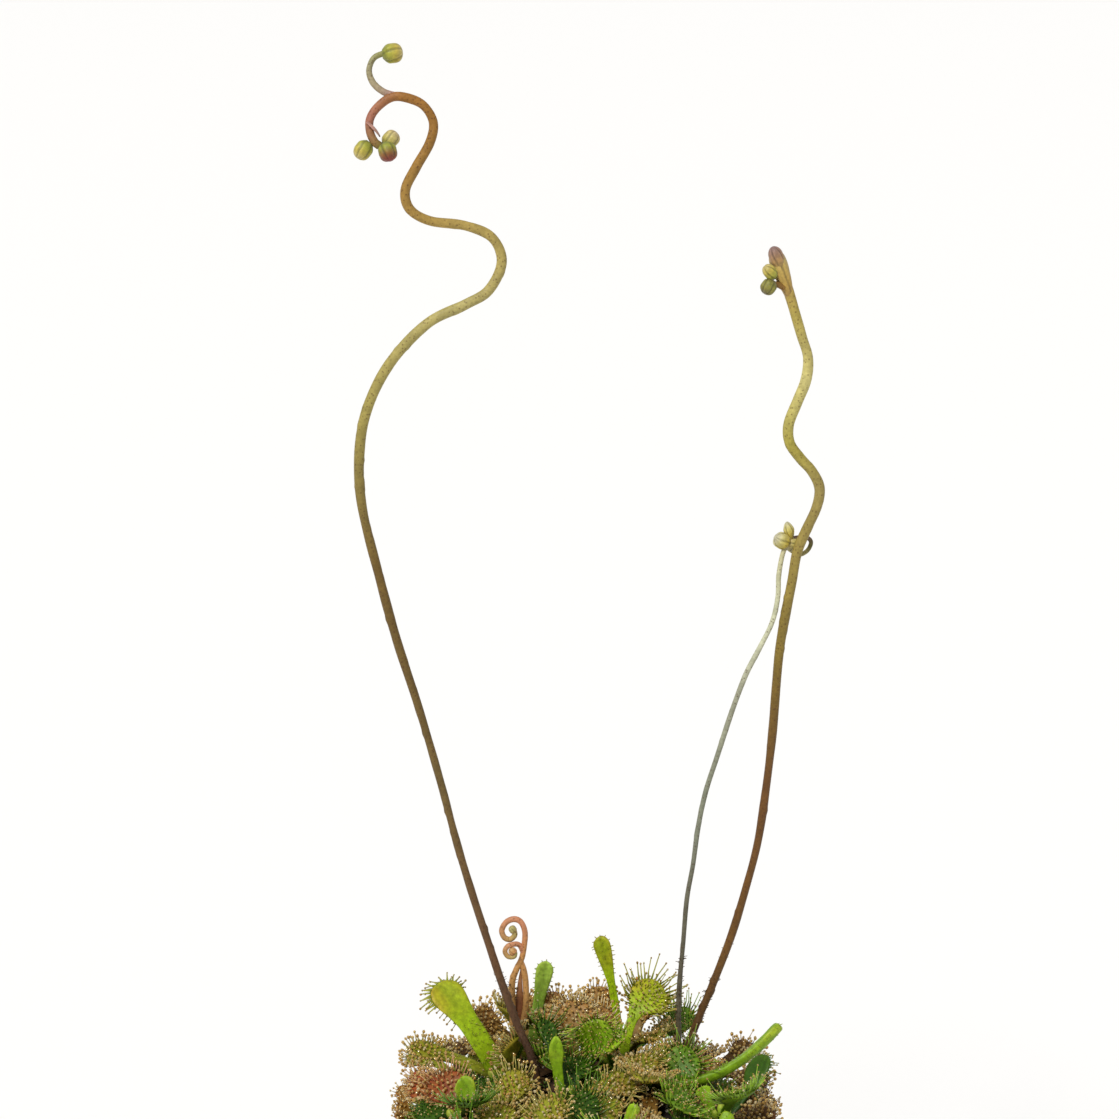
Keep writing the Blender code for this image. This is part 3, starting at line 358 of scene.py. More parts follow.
THIN_ROUTE = (
    (14.7, 9.9, 54.5), (14.7, 9.9, 61.0), (14.5, 9.8, 66.0), (14.5, 9.6, 70.3), (14.4, 9.4, 75.0),
    (14.6, 9.2, 80.4), (15.0, 9.0, 85.6), (15.5, 8.6, 93.1), (16.4, 8.2, 99.0), (17.1, 7.9, 105.0),
    (18.2, 7.5, 110.9), (19.9, 7.2, 116.7), (21.9, 7.0, 123.4), (24.0, 6.8, 129.5), (26.0, 6.6, 133.7),
    (27.9, 6.4, 137.9), (28.7, 6.2, 141.8), (28.8, 6.2, 145.2), (29.3, 6.6, 148.2), (29.9, 7.2, 149.4),
    (30.7, 8.0, 148.8), (32.0, 8.5, 148.0), (33.3, 8.8, 148.6), (33.8, 8.8, 149.9), (33.0, 8.6, 150.7),
    (31.8, 8.2, 150.7), (30.7, 7.4, 150.7),
)
YOUNG_ROUTE = (
    (-10.4, 9.3, 54.5), (-10.4, 9.3, 62.5), (-10.8, 9.2, 66.0), (-11.5, 9.0, 71.5), (-11.7, 9.0, 76.5),
    (-11.7, 9.0, 79.5), (-11.1, 9.0, 81.4), (-10.2, 9.0, 83.4), (-9.8, 9.0, 85.6), (-9.7, 9.0, 87.7),
    (-10.3, 9.0, 89.3), (-11.4, 9.0, 89.8), (-12.6, 9.0, 89.3), (-13.3, 9.0, 88.0), (-12.9, 9.0, 86.8),
    (-12.0, 9.0, 86.5), (-11.3, 9.0, 87.2), (-11.5, 9.0, 88.2),
)
YOUNG_STRAND = (
    (-11.0, 9.2, 68.5), (-10.2, 9.4, 71.3), (-9.6, 9.5, 75.5), (-9.6, 9.5, 78.9), (-9.9, 9.3, 81.2),
    (-10.4, 9.1, 82.8),
)
YOUNG_CURL = (
    (-10.0, 9.0, 84.4), (-10.5, 8.7, 85.6), (-11.3, 8.2, 86.0), (-12.4, 7.9, 85.7), (-12.8, 7.8, 84.9),
    (-12.3, 7.8, 84.1), (-11.4, 7.8, 84.1), (-11.2, 7.8, 84.8),
)
LEFT_RADII = (0.58, 0.60, 0.80, 0.62)
RIGHT_RADII = (0.60, 0.60, 0.75, 0.80)
THIN_RADII = (0.42, 0.38, 0.42, 0.34)
YOUNG_RADII = (0.60, 0.60, 0.45, 0.42)
PACKED_STALKS = (
    (LEFT_ROUTE, LEFT_RADII), (RIGHT_ROUTE, RIGHT_RADII), (THIN_ROUTE, THIN_RADII),
    (YOUNG_ROUTE, YOUNG_RADII), (YOUNG_STRAND, YOUNG_RADII[:1]), (YOUNG_CURL, YOUNG_RADII[-1:]),
)

# Stalk colours, from the soil to the tip
LEFT_COLOURS = ("#4a3424", "#4d3728", "#60442a", "#65522b", "#6c5426", "#9a8c4a", "#a89c60", "#a69250",
                "#98783a", "#88622a", "#94652c", "#9c6450", "#7e6c34")
FORK_COLOURS = ("#a87074", "#98886c", "#84805c", "#8c8a3a")
# The right stalk's first two colours are its own dark base, darkened further by painted shade of the leaves
# over it
RIGHT_COLOURS = ("#3c2a1a", "#50381e", "#66461c", "#66441f", "#7a662a", "#928040", "#8c7c46", "#a09440",
                 "#bcb170", "#a6954a", "#b08e50")
THIN_COLOURS = ("#5a4a30", "#5e4e36", "#5a5240", "#5e5848", "#64604f", "#767866", "#80826e", "#92927c",
                "#b4b498", "#bcbc9c", "#b8b48e", "#bab288", "#aca064", "#5e5a2c", "#6a5048", "#7a6450")
YOUNG_COLOURS = ("#6a4a2c", "#9a7040", "#c09054", "#c08a52", "#c48460", "#c08660", "#b49058", "#aca062")
# Colours of buds, bracts and the short stem, each from the foot to the tip
BUD_GREEN = ("#787c26", "#989630", "#a8983c", "#b0a060")
BUD_PALE = ("#8a8230", "#a89c4c", "#b8a866", "#b09c74")
BUD_RUST = ("#727a26", "#8a8c2c", "#7a5a24", "#7a2218")
BUD_DARK = ("#5e5622", "#77742a", "#7c7630", "#5e5226")
BUD_CREAM = ("#988432", "#b09c38", "#b8ac62", "#aea888")
BUD_COILED = ("#a8864a", "#9a9054", "#a49c60")
BUD_TENDER = ("#b87850", "#b8844c", "#bc9a64")
SHEATH = ("#a0803e", "#a8883c", "#ac9046", "#a89250", "#987e60")
LOBE = ("#9a8044", "#a07c4a", "#8c6c54", "#7e625c")
BRACT = ("#a07060", "#b08474", "#6a5248")
YOUNG_BRACT = ("#7a4a2a", "#8c5430", "#b8824e")
PEDICEL = ("#84602c", "#5a4420")
# Colours of the hairs round a stalk's base, in the order of a leaf's tone
STALK_HAIR_TONES = ("#4e3822", "#4e3822", "#4e3822", "#5c4428", "#3c1c18")

# Fine stalks: steps in each span of the route, points round, and how high and how long the swellings
# and the low knobs of the skin are, the heights in radii
STALK_STEPS = 14
STALK_ROUND = 16
SWELL = 0.05
SWELL_SIZE = 6.0
KNOB = 0.3
KNOB_SIZE = 1.8
# Hairs round a stalk's base: their rise, length, thickness and drops, and how far they stray and redden
STALK_HAIR_RISE = (-0.1, 0.6)
STALK_HAIR_LENGTH = (0.25, 0.6)
STALK_HAIR_THICK = 0.06
STALK_HAIR_DROP = (0.1, 0.17)
STALK_HAIR_STRAYS = 0.12
STALK_HAIR_RED = 0.2
# Fine buds: points round, rings before and after the share at which they start to close, and what is
# left then; the creases' depth, width and painted shade; the sepals' bulge and twist; and where a
# sepal's edge lies, how wide it is and how pale
BUD_ROUND = 40
BUD_RINGS = 14
BUD_END_RINGS = 7
BUD_CLOSES = 0.75
BUD_CLOSING = 0.245
SEPALS = 5
CREASE_DEPTH = 0.15
CREASE_WIDTH = 0.12
CREASE_PAINTED_SHADE = 0.5
SEPAL_BULGE = 0.04
SEPAL_TWIST = 0.5
SEPAL_EDGE = 0.26
SEPAL_EDGE_WIDTH = 0.09
SEPAL_EDGE_PALE = 0.25
# Fine bracts: rings, points round, half thickness, and how far the sides turn down
BRACT_RINGS = 12
BRACT_ROUND = 10
BRACT_THICK = 0.12
BRACT_CUP = 0.25
# The short stem of the right stalk's lowest bud. The stalk's own stem leaves out the route's last point,
# so that it ends inside the bud head
RIGHT_JOINT = ((28.7, 4.3, 189.0), (27.8, 4.0, 189.5), (27.0, 3.8, 189.5))

# Each stalk: its tubes by route, radii and colours; its buds by centre, the way the tip points, length,
# width, colours and turn, some also by the outline that bud_skin explains; its bracts by foot, tip,
# facing, width, colours and curl; the hairs round its base by their root radius, the heights between
# which they stand and their number; its slot
STALKS = {
    "left": Stalk(
        ((LEFT_ROUTE, LEFT_RADII, LEFT_COLOURS), (LEFT_FORK, (0.5, 0.42), FORK_COLOURS)),
        (Bud((-28.5, 5.3, 223.0), (1, 0.1, 0.1), 3.0, 2.9, BUD_GREEN, 0.2),
         Bud((-32.7, 1.2, 209.3), (-0.6, -0.2, -0.7), 2.9, 2.6, BUD_GREEN, 0.9),
         Bud((-28.7, 1.6, 210.9), (0.7, 0.2, 0.7), 2.6, 2.4, BUD_PALE, 1.6),
         Bud((-29.1, 0.4, 209.1), (0.2, -0.4, -0.85), 2.8, 2.7, BUD_RUST, 0.4)),
        (Bract((-32.1, 1.2, 213.4), (-30.2, 1.0, 211.2), (1, -0.3, 0.4), 1.0, BRACT, 0.3),),
        (0.58, 64.0, 84.0, 240), "olive_stalk"),
    "right": Stalk(
        ((RIGHT_ROUTE[:-1], RIGHT_RADII, RIGHT_COLOURS), (RIGHT_JOINT, (0.45, 0.5), PEDICEL)),
        (Bud((28.4, 4.9, 191.2), (-0.33, 0, 0.94), 7.2, 2.7, SHEATH, 0.1, 0.48, 0.75, 3.0),
         Bud((26.4, 3.7, 189.2), (-0.6, -0.2, -0.75), 2.4, 2.3, BUD_DARK, 0.5),
         Bud((26.6, 3.9, 191.4), (-0.6, -0.3, 0.7), 2.5, 2.0, BUD_GREEN, 1.1),
         Bud((27.5, 4.3, 193.6), (-0.35, -0.1, 0.93), 3.2, 2.2, LOBE, 0.7, 0.7, 0.4, 2.0)),
        (), (0.6, 64.0, 86.0, 260), "olive_stalk"),
    "thin": Stalk(
        ((THIN_ROUTE, THIN_RADII, THIN_COLOURS),),
        (Bud((29.2, 6.9, 150.5), (-0.7, -0.3, 0.5), 2.5, 2.5, BUD_CREAM, 0.3, 0.6),
         Bud((30.3, 7.2, 152.0), (-0.25, 0, 0.97), 2.8, 1.7, BUD_CREAM, 0.9, 0.4, 0.6, 1.1),
         Bud((30.9, 7.4, 150.0), (-0.9, 0, 0.3), 1.9, 1.7, BUD_PALE, 0.2)),
        (), (0.4, 64.0, 84.0, 130), "pale_stalk"),
    "young": Stalk(
        ((YOUNG_ROUTE, YOUNG_RADII, YOUNG_COLOURS), (YOUNG_STRAND, (0.5, 0.5), YOUNG_COLOURS[1:4]),
         (YOUNG_CURL, (0.42, 0.38), YOUNG_COLOURS[4:])),
        (Bud((-11.6, 9.0, 88.1), (-0.5, 0, 0.8), 1.3, 1.2, BUD_COILED, 0.2),
         Bud((-11.6, 7.9, 84.9), (-0.6, 0, 0.7), 1.3, 1.3, BUD_TENDER, 0.6)),
        (Bract((-10.9, 9.5, 69.0), (-10.4, 9.4, 81.5), (0, -1, 0.1), 1.4, YOUNG_BRACT, 0.02),),
        (0.58, 64.0, 80.0, 110), "orange_stalk"),
}

# Growing medium, dressed: peat with crumbs by height, size and seed, then sand, dead leaves and moss
PEAT_GAP = 0.15
PEAT_SIDES = 144
PEAT_RINGS = 46
CRUMBS = ((0.32, 2.6, 1), (0.2, 1.1, 2))
GRAINS = 900
GRAIN_SIZE = (0.18, 0.5)
LARGE_SHARE = 0.08
SAND_COLOURS = ("#8a7658", "#b8a888", "#d8d0c0", "#6a543c")
LITTER_RINGS = 10
LITTER_ROUND = 8
LITTER_LEAVES = 13
LITTER_START = 1.6
LITTER_LENGTH = (5.0, 8.5)
LITTER_THICK = 0.1
LITTER_SWEEP = 0.5
LITTER_CURL = (-0.5, 0.6)
CRUMPLE = 0.12
LITTER_REACH = 28.6
LITTER_COLOURS = (("#2e1e10", "#4a321a", "#5c4024"), ("#3e2c14", "#664a28", "#7a5c34"),
                  ("#241810", "#382618", "#4a3220"))
MOSS_SHOOTS = 620
MOSS_LEAVES = 8
MOSS_AWAY = 3.2
MOSS_PATCH = 9.0
MOSS_TALL = (0.8, 2.0)
MOSS_LENGTH = (0.7, 1.1)
MOSS_WIDTH = 0.17
MOSS_COLOURS = ("#20320e", "#375214", "#577422")

# Pot, dressed: points round the shell and a drain, the softened corners, the angle from which an edge is
# shaded sharp, and the plastic's colour
POT_ROUND = 128
DRAIN_ROUND = 32
POT_CORNER = 0.5
POT_SHARP = math.radians(35)
POT_COLOUR = "#232324"

# Random seeds of the three makers that draw for themselves
ROSETTE_SEED = 5
STALK_SEED = 8
SOIL_SEED = 21

# Camera: the photograph's view, from the front and 12 degrees down, in its 1119 pixel frame
FRAME_PIXELS = 1119
PIXEL_MM = 0.15
CAMERA_DISTANCE = 430.0
CAMERA_TARGET = (-4.3, 4.0, 148.2)

# Studio: half the floor's width in metres, the sky's strength, the softbox's strength, and its spread
# and turn in degrees
FLOOR_HALF = 30.0
SKY_STRENGTH = 0.55
SOFTBOX_STRENGTH = 2.4
SOFTBOX_SPREAD = 14
SOFTBOX_TURN = (38, -16, -12)


def is_clear_of(tree, others):
    """Whether a search tree touches none of the others."""
    return not any(tree.overlap(other) for other in others)


def unit(vectors):
    """Vectors scaled to length one."""
    vectors = np.asarray(vectors, float)
    return vectors / np.linalg.norm(vectors, axis=-1, keepdims=True)


def soil_height(x, y):
    """Height of the soil: a low dome with a small tussock round every crown."""
    reach = RIM_RADIUS - WALL
    height = SOIL_EDGE_Z + SOIL_RISE * (1 - ((x * x + y * y) / (reach * reach)) ** 2)
    for crown_x, crown_y in CROWNS.values():
        away = (x - crown_x) ** 2 + (y - crown_y) ** 2
        height = height + TUSSOCK_RISE * np.exp(-away / (2 * TUSSOCK_SPREAD ** 2))
    return height


def soil_points(x, y, lift=0.0):
    """Points on the soil, raised by lift."""
    return np.stack([x, y, soil_height(x, y) + lift], axis=-1)


def crown_top(rosette):
    """The top of a rosette's short stem."""
    x, y = STANDS[rosette]
    return np.array([x, y, soil_height(x, y) + CROWN_STAND])


def loft(rings):
    """Points and faces of a closed tube through equal rings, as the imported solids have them."""
    count, sides = rings.shape[:2]
    faces = []
    for ring in range(count - 1):
        for side in range(sides):
            after = (side + 1) % sides
            low = ring * sides
            high = low + sides
            faces.append((low + side, low + after, high + after, high + side))
    faces.append(tuple(reversed(range(sides))))
    faces.append(tuple(range((count - 1) * sides, count * sides)))
    return rings.reshape(-1, 3), faces


def round_angles(sides):
    """Equal angles round a circle."""
    return np.linspace(0, 2 * math.pi, sides, endpoint=False)


def turned_rings(profile, sides, centre=(0.0, 0.0)):
    """Rings of a profile of (radius, height) points turned round a vertical axis."""
    angles = round_angles(sides)
    radius, height = np.array(profile, float).T[..., None]
    x = centre[0] + radius * np.cos(angles)
    y = centre[1] + radius * np.sin(angles)
    return np.stack([x, y, height + 0 * angles], axis=-1)


def turned(profile, sides, centre=(0.0, 0.0)):
    """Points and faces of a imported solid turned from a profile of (radius, height) points."""
    return loft(turned_rings(profile, sides, centre))


def leaf_length(leaf):
    """Rough length of a leaf from its base by its bow to its tip."""
    base, tip, bow = np.array(leaf.base), np.array(leaf.tip), np.array(leaf.bow)
    middle = (base + tip) / 2 + bow / 2
    return np.linalg.norm(middle - base) + np.linalg.norm(tip - middle)


def leaf_marks(leaf):
    """Where along a leaf its lamina starts to widen, and where its round end starts."""
    full = 1 - 0.5 * leaf.width / leaf_length(leaf)
    return max(full - LAMINA_START, 0.12), full


def leaf_axes(leaf, along):
    """Midrib points, and the unit vectors along, across and out of the upper face."""
    base, tip = np.array(leaf.base), np.array(leaf.tip)
    control = (base + tip) / 2 + np.array(leaf.bow)
    s = np.asarray(along, float)[:, None]
    points = (1 - s) ** 2 * base + 2 * s * (1 - s) * control + s ** 2 * tip
    forward = unit((1 - s) * (control - base) + s * (tip - control))
    across = unit(np.cross(forward, np.array(leaf.facing, float)))
    outward = np.cross(across, forward)
    return points, forward, across, outward


def leaf_half_width(leaf, along, blunt=0.0):
    """Half the width: a narrow petiole, a smooth step up to the lamina, and a round end."""
    start, full = leaf_marks(leaf)
    s = np.asarray(along, float)
    step = np.clip((s - start) / (full - start), 0, 1)
    body = leaf.petiole + (leaf.width - leaf.petiole) * step * step * (3 - 2 * step)
    past = np.clip((s - full) / (1 - full), 0, 1)
    return body / 2 * np.maximum(np.sqrt(1 - past * past), blunt)


def leaf_mesh(leaf, margin=0.0):
    """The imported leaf: a six-sided section carried along the midrib, its edges cupped up."""
    start, full = leaf_marks(leaf)
    along = (0.0, start * 0.8, (start + full) / 2, full, full + 0.6 * (1 - full), full + 0.95 * (1 - full))
    points, _, across, outward = leaf_axes(leaf, along)
    half = leaf_half_width(leaf, along, TIP_SHARE)
    cup = KINDS[leaf.kind].cup
    rings = np.zeros((len(along), len(SECTION), 3))
    for number, (side, face) in enumerate(SECTION):
        share = EDGE_SHARE if side else 1.0
        reach = side * (half + margin)
        lift = cup * half * side * side + face * (leaf.thick / 2 * share + margin)
        rings[:, number] = points + across * reach[:, None] + outward * lift[:, None]
    return loft(rings)


def tree_of(points, faces):
    """A search tree of a mesh."""
    return BVHTree.FromPolygons([tuple(p) for p in points], faces)


def test_tree(leaf):
    """The search tree of a leaf grown by the margin that neighbours keep."""
    return tree_of(*leaf_mesh(leaf, TEST_MARGIN))


def crown_mesh(rosette, margin=0.0):
    """Points and faces of a rosette's short stem."""
    x, y, z = crown_top(rosette)
    radius = CROWN_RADIUS + margin
    profile = ((radius, z - CROWN_DEPTH), (radius, z - 1.6), (radius * 0.7, z - 0.5), (radius * 0.3, z))
    return turned(profile, CROWN_SIDES, (x, y))


def smooth_route(route, most=None):
    """Points on a Catmull-Rom curve through a route: as packed, or in equal steps if most is given."""
    points = np.array(route, float)
    padded = np.vstack([2 * points[0] - points[1], points, 2 * points[-1] - points[-2]])
    runs = unit(np.diff(padded, axis=0))
    turns = np.degrees(np.arccos(np.clip(np.sum(runs[:-1] * runs[1:], axis=1), -1, 1)))
    line = [points[0]]
    for span in range(len(points) - 1):
        bend = max(turns[span], turns[span + 1])
        steps = most or 1 + int(bend > SHARP_BEND)
        before, start, end, after = padded[span:span + 4]
        for step in range(1, steps + 1):
            t = step / steps
            line.append(0.5 * (2 * start + (end - before) * t
                               + (2 * before - 5 * start + 4 * end - after) * t ** 2
                               + (3 * start - before - 3 * end + after) * t ** 3))
    return np.array(line)


def tube_rings(line, radii, sides, margin=0.0):
    """Rings of a round tube along a line, its radius read from equally spaced values."""
    line = np.asarray(line, float)
    lengths = np.concatenate([[0], np.cumsum(np.linalg.norm(np.diff(line, axis=0), axis=1))])
    radius = np.interp(lengths / lengths[-1], np.linspace(0, 1, len(radii)), radii) + margin
    forward = unit(np.gradient(line, axis=0))
    side = unit(np.cross(forward[0], (0.0, 1.0, 0.1)))
    angles = round_angles(sides)
    rings = []
    for point, ahead, size in zip(line, forward, radius):
        side = unit(side - ahead * np.dot(side, ahead))
        other = np.cross(ahead, side)
        rings.append(point + size * (np.cos(angles)[:, None] * side + np.sin(angles)[:, None] * other))
    return np.array(rings)


def packed_pot_profile():
    """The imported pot's outline, from the edge of its underside over the rim to its floor."""
    collar = POT_HEIGHT - COLLAR_HEIGHT
    outside = RIM_RADIUS - COLLAR_TAPER
    under = outside - COLLAR_STEP
    inside = outside - WALL
    return (
        (FOOT_RADIUS - 0.7, 0.0), (FOOT_RADIUS, 0.7), (under, collar), (outside, collar + 0.6),
        (RIM_RADIUS - 0.2, POT_HEIGHT - 1.8), (RIM_RADIUS, POT_HEIGHT - 1.2),
        (RIM_RADIUS - 0.2, POT_HEIGHT), (inside + 0.2, POT_HEIGHT), (inside, POT_HEIGHT - 0.6),
        (inside, collar + 2.0), (under - WALL, collar + WALL), (FOOT_RADIUS - WALL, FLOOR),
    )


def soil_rings(side, sides, radii):
    """Rings of the growing medium: its turned side, then rings that lie on its surface."""
    radius = np.array(radii)[:, None]
    angles = round_angles(sides)
    top = soil_points(radius * np.cos(angles), radius * np.sin(angles))
    return np.concatenate([turned_rings(side, sides), top])


def packed_soil_mesh():
    """Points and faces of the packed soil without its holes."""
    collar = POT_HEIGHT - COLLAR_HEIGHT
    edge = RIM_RADIUS - COLLAR_TAPER - WALL - FIT_GAP
    low, high = SHOULDER
    side = ((FOOT_RADIUS - WALL - FIT_GAP, FLOOR + FIT_GAP), (edge - COLLAR_STEP, collar + low),
            (edge, collar + high))
    return loft(soil_rings(side, SOIL_SIDES, (edge,) + SOIL_RINGS))


def stalk_meshes(margin=0.0):
    """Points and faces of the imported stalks, grown by a margin."""
    return [loft(tube_rings(smooth_route(route), radii, STALK_SIDES, margin))
            for route, radii in PACKED_STALKS]


def fixed_trees():
    """Search trees of what no leaf may touch: the stalks, the pot and the soil."""
    meshes = stalk_meshes(FIT_GAP) + [turned(packed_pot_profile(), POT_SIDES), packed_soil_mesh()]
    return [tree_of(*mesh) for mesh in meshes]


def placed_leaf(rosette, kind, tip, bow, facing, width, petiole, thick, tone):
    """A leaf from its crown to a given tip."""
    crown = crown_top(rosette)
    outward = np.array([tip[0] - crown[0], tip[1] - crown[1], 0.0])
    base = crown + unit(outward) * BASE_OFFSET - np.array([0.0, 0.0, BASE_SUNK])
    return Leaf(rosette, kind, tuple(base), tip, bow, facing, width, petiole, thick, tone)


def leaf_by_rule(rosette, kind, turn, lift, length, width):
    """A leaf that leaves its crown towards turn, rises at the angle lift and leans to the light."""
    shape = KINDS[kind]
    outward = np.array([math.cos(turn), math.sin(turn), 0.0])
    up = np.array([0.0, 0.0, 1.0])
    base = crown_top(rosette) + outward * BASE_OFFSET - up * BASE_SUNK
    tip = base + length * (outward * math.cos(lift) + up * math.sin(lift))
    bow = up * length * RULE_BOW_UP - outward * length * RULE_BOW_IN
    facing = up * math.cos(lift * RULE_FACING) - outward * math.sin(lift * RULE_FACING)
    facing = facing + RULE_LEAN * np.array([0.0, -1.0, 0.0])
    places = (tuple(part) for part in (base, tip, bow, facing))
    return Leaf(rosette, kind, *places, width, shape.petiole, shape.thick, None)


def candidates(rosette, kind, turn, draw):
    """One leaf drawn for its kind, then the same leaf raised, swung and shortened step by step."""
    shape = KINDS[kind]
    length = draw.uniform(*shape.length)
    lift = math.radians(draw.uniform(*shape.lift))
    width = draw.uniform(*shape.width)
    turn = turn + math.radians(draw.uniform(-10, 10))
    tries = []
    for shorter in SHORTER:
        for raised in RAISED:
            for swing in SWUNG:
                strain = abs(raised) / RAISED[1] + abs(swing) / SWUNG[1] + (1 - shorter) * 9
                tries.append((strain, shorter, raised, swing))
    for _, shorter, raised, swing in sorted(tries):
        size = width * min(1.0, shorter + 0.15)
        yield leaf_by_rule(rosette, kind, turn + math.radians(swing), lift + math.radians(raised),
                           length * shorter, size)


def rule_turns(rosette, taken, count):
    """Directions round a crown, a golden angle apart, that lie clear of the placed leaves."""
    start = math.radians(TURN_STEP * list(STANDS).index(rosette))
    turns = []
    step = 0
    while len(turns) < count:
        turn = start + step * GOLDEN_ANGLE
        step += 1
        apart = [abs((turn - other + math.pi) % (2 * math.pi) - math.pi) for other in taken]
        if not apart or min(apart) > TURN_CLEAR or step > TURNS_TRIED:
            turns.append(turn)
    return turns


def lay_out_leaves():
    """Every leaf: the placed ones, then each rosette's others wherever one fits."""
    draw = random.Random(LAYOUT_SEED)
    fixed = fixed_trees()
    crowns = {name: tree_of(*crown_mesh(name, TEST_MARGIN)) for name in CROWNS}
    leaves = [placed_leaf(*values) for values in PLACED_LEAVES]
    trees = [test_tree(leaf) for leaf in leaves]
    for rosette in CROWNS:
        own = [leaf for leaf in leaves if leaf.rosette == rosette]
        kinds = ["old"] * len(ROSETTE_KINDS) if rosette in LOW_ROSETTES else list(ROSETTE_KINDS)
        for leaf in own:
            kinds.remove(leaf.kind if leaf.kind in kinds else kinds[-1])
        taken = [math.atan2(leaf.tip[1] - leaf.base[1], leaf.tip[0] - leaf.base[0]) for leaf in own]
        strange = [tree for name, tree in crowns.items() if name != rosette]
        for kind, turn in zip(kinds, rule_turns(rosette, taken, len(kinds))):
            for leaf in candidates(rosette, kind, turn, draw):
                tree = test_tree(leaf)
                others = [other for known, other in zip(leaves, trees) if known.rosette != rosette]
                if is_clear_of(tree, fixed + strange + others):
                    leaves.append(leaf)
                    trees.append(tree)
                    break
    return leaves


def lay_out_seedlings(leaves):
    """The seedlings' leaves, each where it clears every grown leaf, stalk, pot and soil."""
    draw = random.Random(LAYOUT_SEED)
    fixed = fixed_trees() + [tree_of(*crown_mesh(name, FIT_GAP)) for name in CROWNS]
    fixed += [test_tree(leaf) for leaf in leaves]
    found = []
    for seedling in SEEDLINGS:
        own = []
        for turn in rule_turns(seedling, [], SEEDLING_LEAVES):
            for leaf in candidates(seedling, "seedling", turn, draw):
                if is_clear_of(test_tree(leaf), fixed):
                    own.append(leaf)
                    break
        fixed += [test_tree(leaf) for leaf in own]
        found += own
    return found


def choose_tone(leaf, rng):
    """A leaf's tone: as placed, of the nearest patch of the front, or drawn for its kind."""
    if leaf.tone:
        return leaf
    x, y, z = TONE_SPOT * np.array(leaf.tip) + (1 - TONE_SPOT) * np.array(leaf.base)
    if y > BACK_Y or leaf.kind == "young":
        choices = OPEN_TONES[leaf.kind]
        return leaf._replace(tone=choices[rng.integers(len(choices))])
    seen = y * math.sin(CAMERA_DROP) + z * math.cos(CAMERA_DROP)
    return leaf._replace(tone=min(PATCHES, key=lambda patch: math.dist(patch[0], (x, seen)))[1])


def linear(code):
    """Linear RGB of an sRGB hex colour."""
    values = np.array([int(code[place:place + 2], 16) for place in (1, 3, 5)]) / 255
    return np.where(values <= 0.04045, values / 12.92, ((values + 0.055) / 1.055) ** 2.4)


def colour_along(share, codes):
    """Colours at shares from 0 to 1 along a row of equally spaced hex colours."""
    stops = np.array([linear(code) for code in codes])
    at = np.linspace(0, 1, len(stops))
    return np.stack([np.interp(share, at, stops[:, band]) for band in range(3)], axis=-1)


def ease(share):
    """A smooth step from 0 to 1: three squares less two cubes of the clipped share."""
    share = np.clip(share, 0, 1)
    return share * share * (3 - 2 * share)


def ripple(points, size, seed):
    """Rolling noise of about -1 to 1: a sum of sines in random directions, of wavelengths near size."""
    rng = np.random.default_rng(seed)
    waves = unit(rng.normal(size=(20, 3))) * (2 * math.pi / (size * rng.uniform(0.6, 1.8, 20)))[:, None]
    phases = rng.uniform(0, 2 * math.pi, 20)
    return np.sin(np.asarray(points) @ waves.T + phases).sum(axis=-1) / math.sqrt(20)


def hair_frame(aims):
    """Two unit vectors square to each aim, so that the three make a right-handed frame."""
    helper = np.where(np.abs(aims[:, 2:3]) < 0.9, np.array([[0.0, 0.0, 1.0]]), np.array([[1.0, 0.0, 0.0]]))
    first = unit(np.cross(helper, aims))
    return first, np.cross(aims, first)


def ring_at(centres, first, second, radii, sides, spin=0.0):
    """Rings of sides points round each centre."""
    angles = round_angles(sides) + spin
    cosine, sine = np.cos(angles)[None, :, None], np.sin(angles)[None, :, None]
    circle = cosine * first[:, None] + sine * second[:, None]
    return centres[:, None] + circle * np.asarray(radii)[:, None, None]


def section_rings(points, across, outward, reach, lift):
    """Rings of a section carried along points: each of its points is reach across and lift outward."""
    return points[:, None] + across[:, None] * reach[..., None] + outward[:, None] * lift[..., None]


def closed_tubes(rings, tints, feet=None, tips=None):
    """Many tubes at once: rings is (tube, ring, side, xyz), and a fan to a point closes each end."""
    tubes, count, sides = rings.shape[:3]
    feet = rings[:, 0].mean(axis=1) if feet is None else feet
    tips = rings[:, -1].mean(axis=1) if tips is None else tips
    row = np.arange(sides)
    after = np.roll(row, -1)
    steps = (np.arange(count - 1) * sides)[:, None]
    quads = np.stack([steps + row, steps + after, steps + after + sides, steps + row + sides], axis=-1)
    top = (count - 1) * sides
    foot = np.full(sides, count * sides)
    fans = np.concatenate([np.stack([after, row, foot], axis=-1),
                           np.stack([top + row, top + after, foot + 1], axis=-1)])
    points = np.concatenate([rings.reshape(tubes, count * sides, 3), feet[:, None], tips[:, None]], axis=1)
    tints = np.broadcast_to(tints, rings.shape)
    ends = tints[:, [0, -1]].mean(axis=2)
    tints = np.concatenate([tints.reshape(tubes, count * sides, 3), ends], axis=1)
    shift = np.arange(tubes)[:, None, None] * points.shape[1]
    return Skin(points.reshape(-1, 3), (quads.reshape(1, -1, 4) + shift).reshape(-1, 4),
                (fans + shift).reshape(-1, 3), tints.reshape(-1, 3))


def closed_tube(rings, tints, foot=None, tip=None):
    """One tube through (ring, side, xyz) rings, closed at both ends."""
    foot = None if foot is None else np.asarray(foot, float)[None]
    tip = None if tip is None else np.asarray(tip, float)[None]
    return closed_tubes(rings[None], np.broadcast_to(tints, rings.shape)[None], foot, tip)


def join(skins):
    """Several skins as one, each skin's faces counted on from the last."""
    starts = np.cumsum([0] + [len(skin.points) for skin in skins[:-1]])
    return Skin(np.concatenate([skin.points for skin in skins]),
                np.concatenate([skin.quads + start for skin, start in zip(skins, starts)]),
                np.concatenate([skin.triangles + start for skin, start in zip(skins, starts)]),
                np.concatenate([skin.tint for skin in skins]))


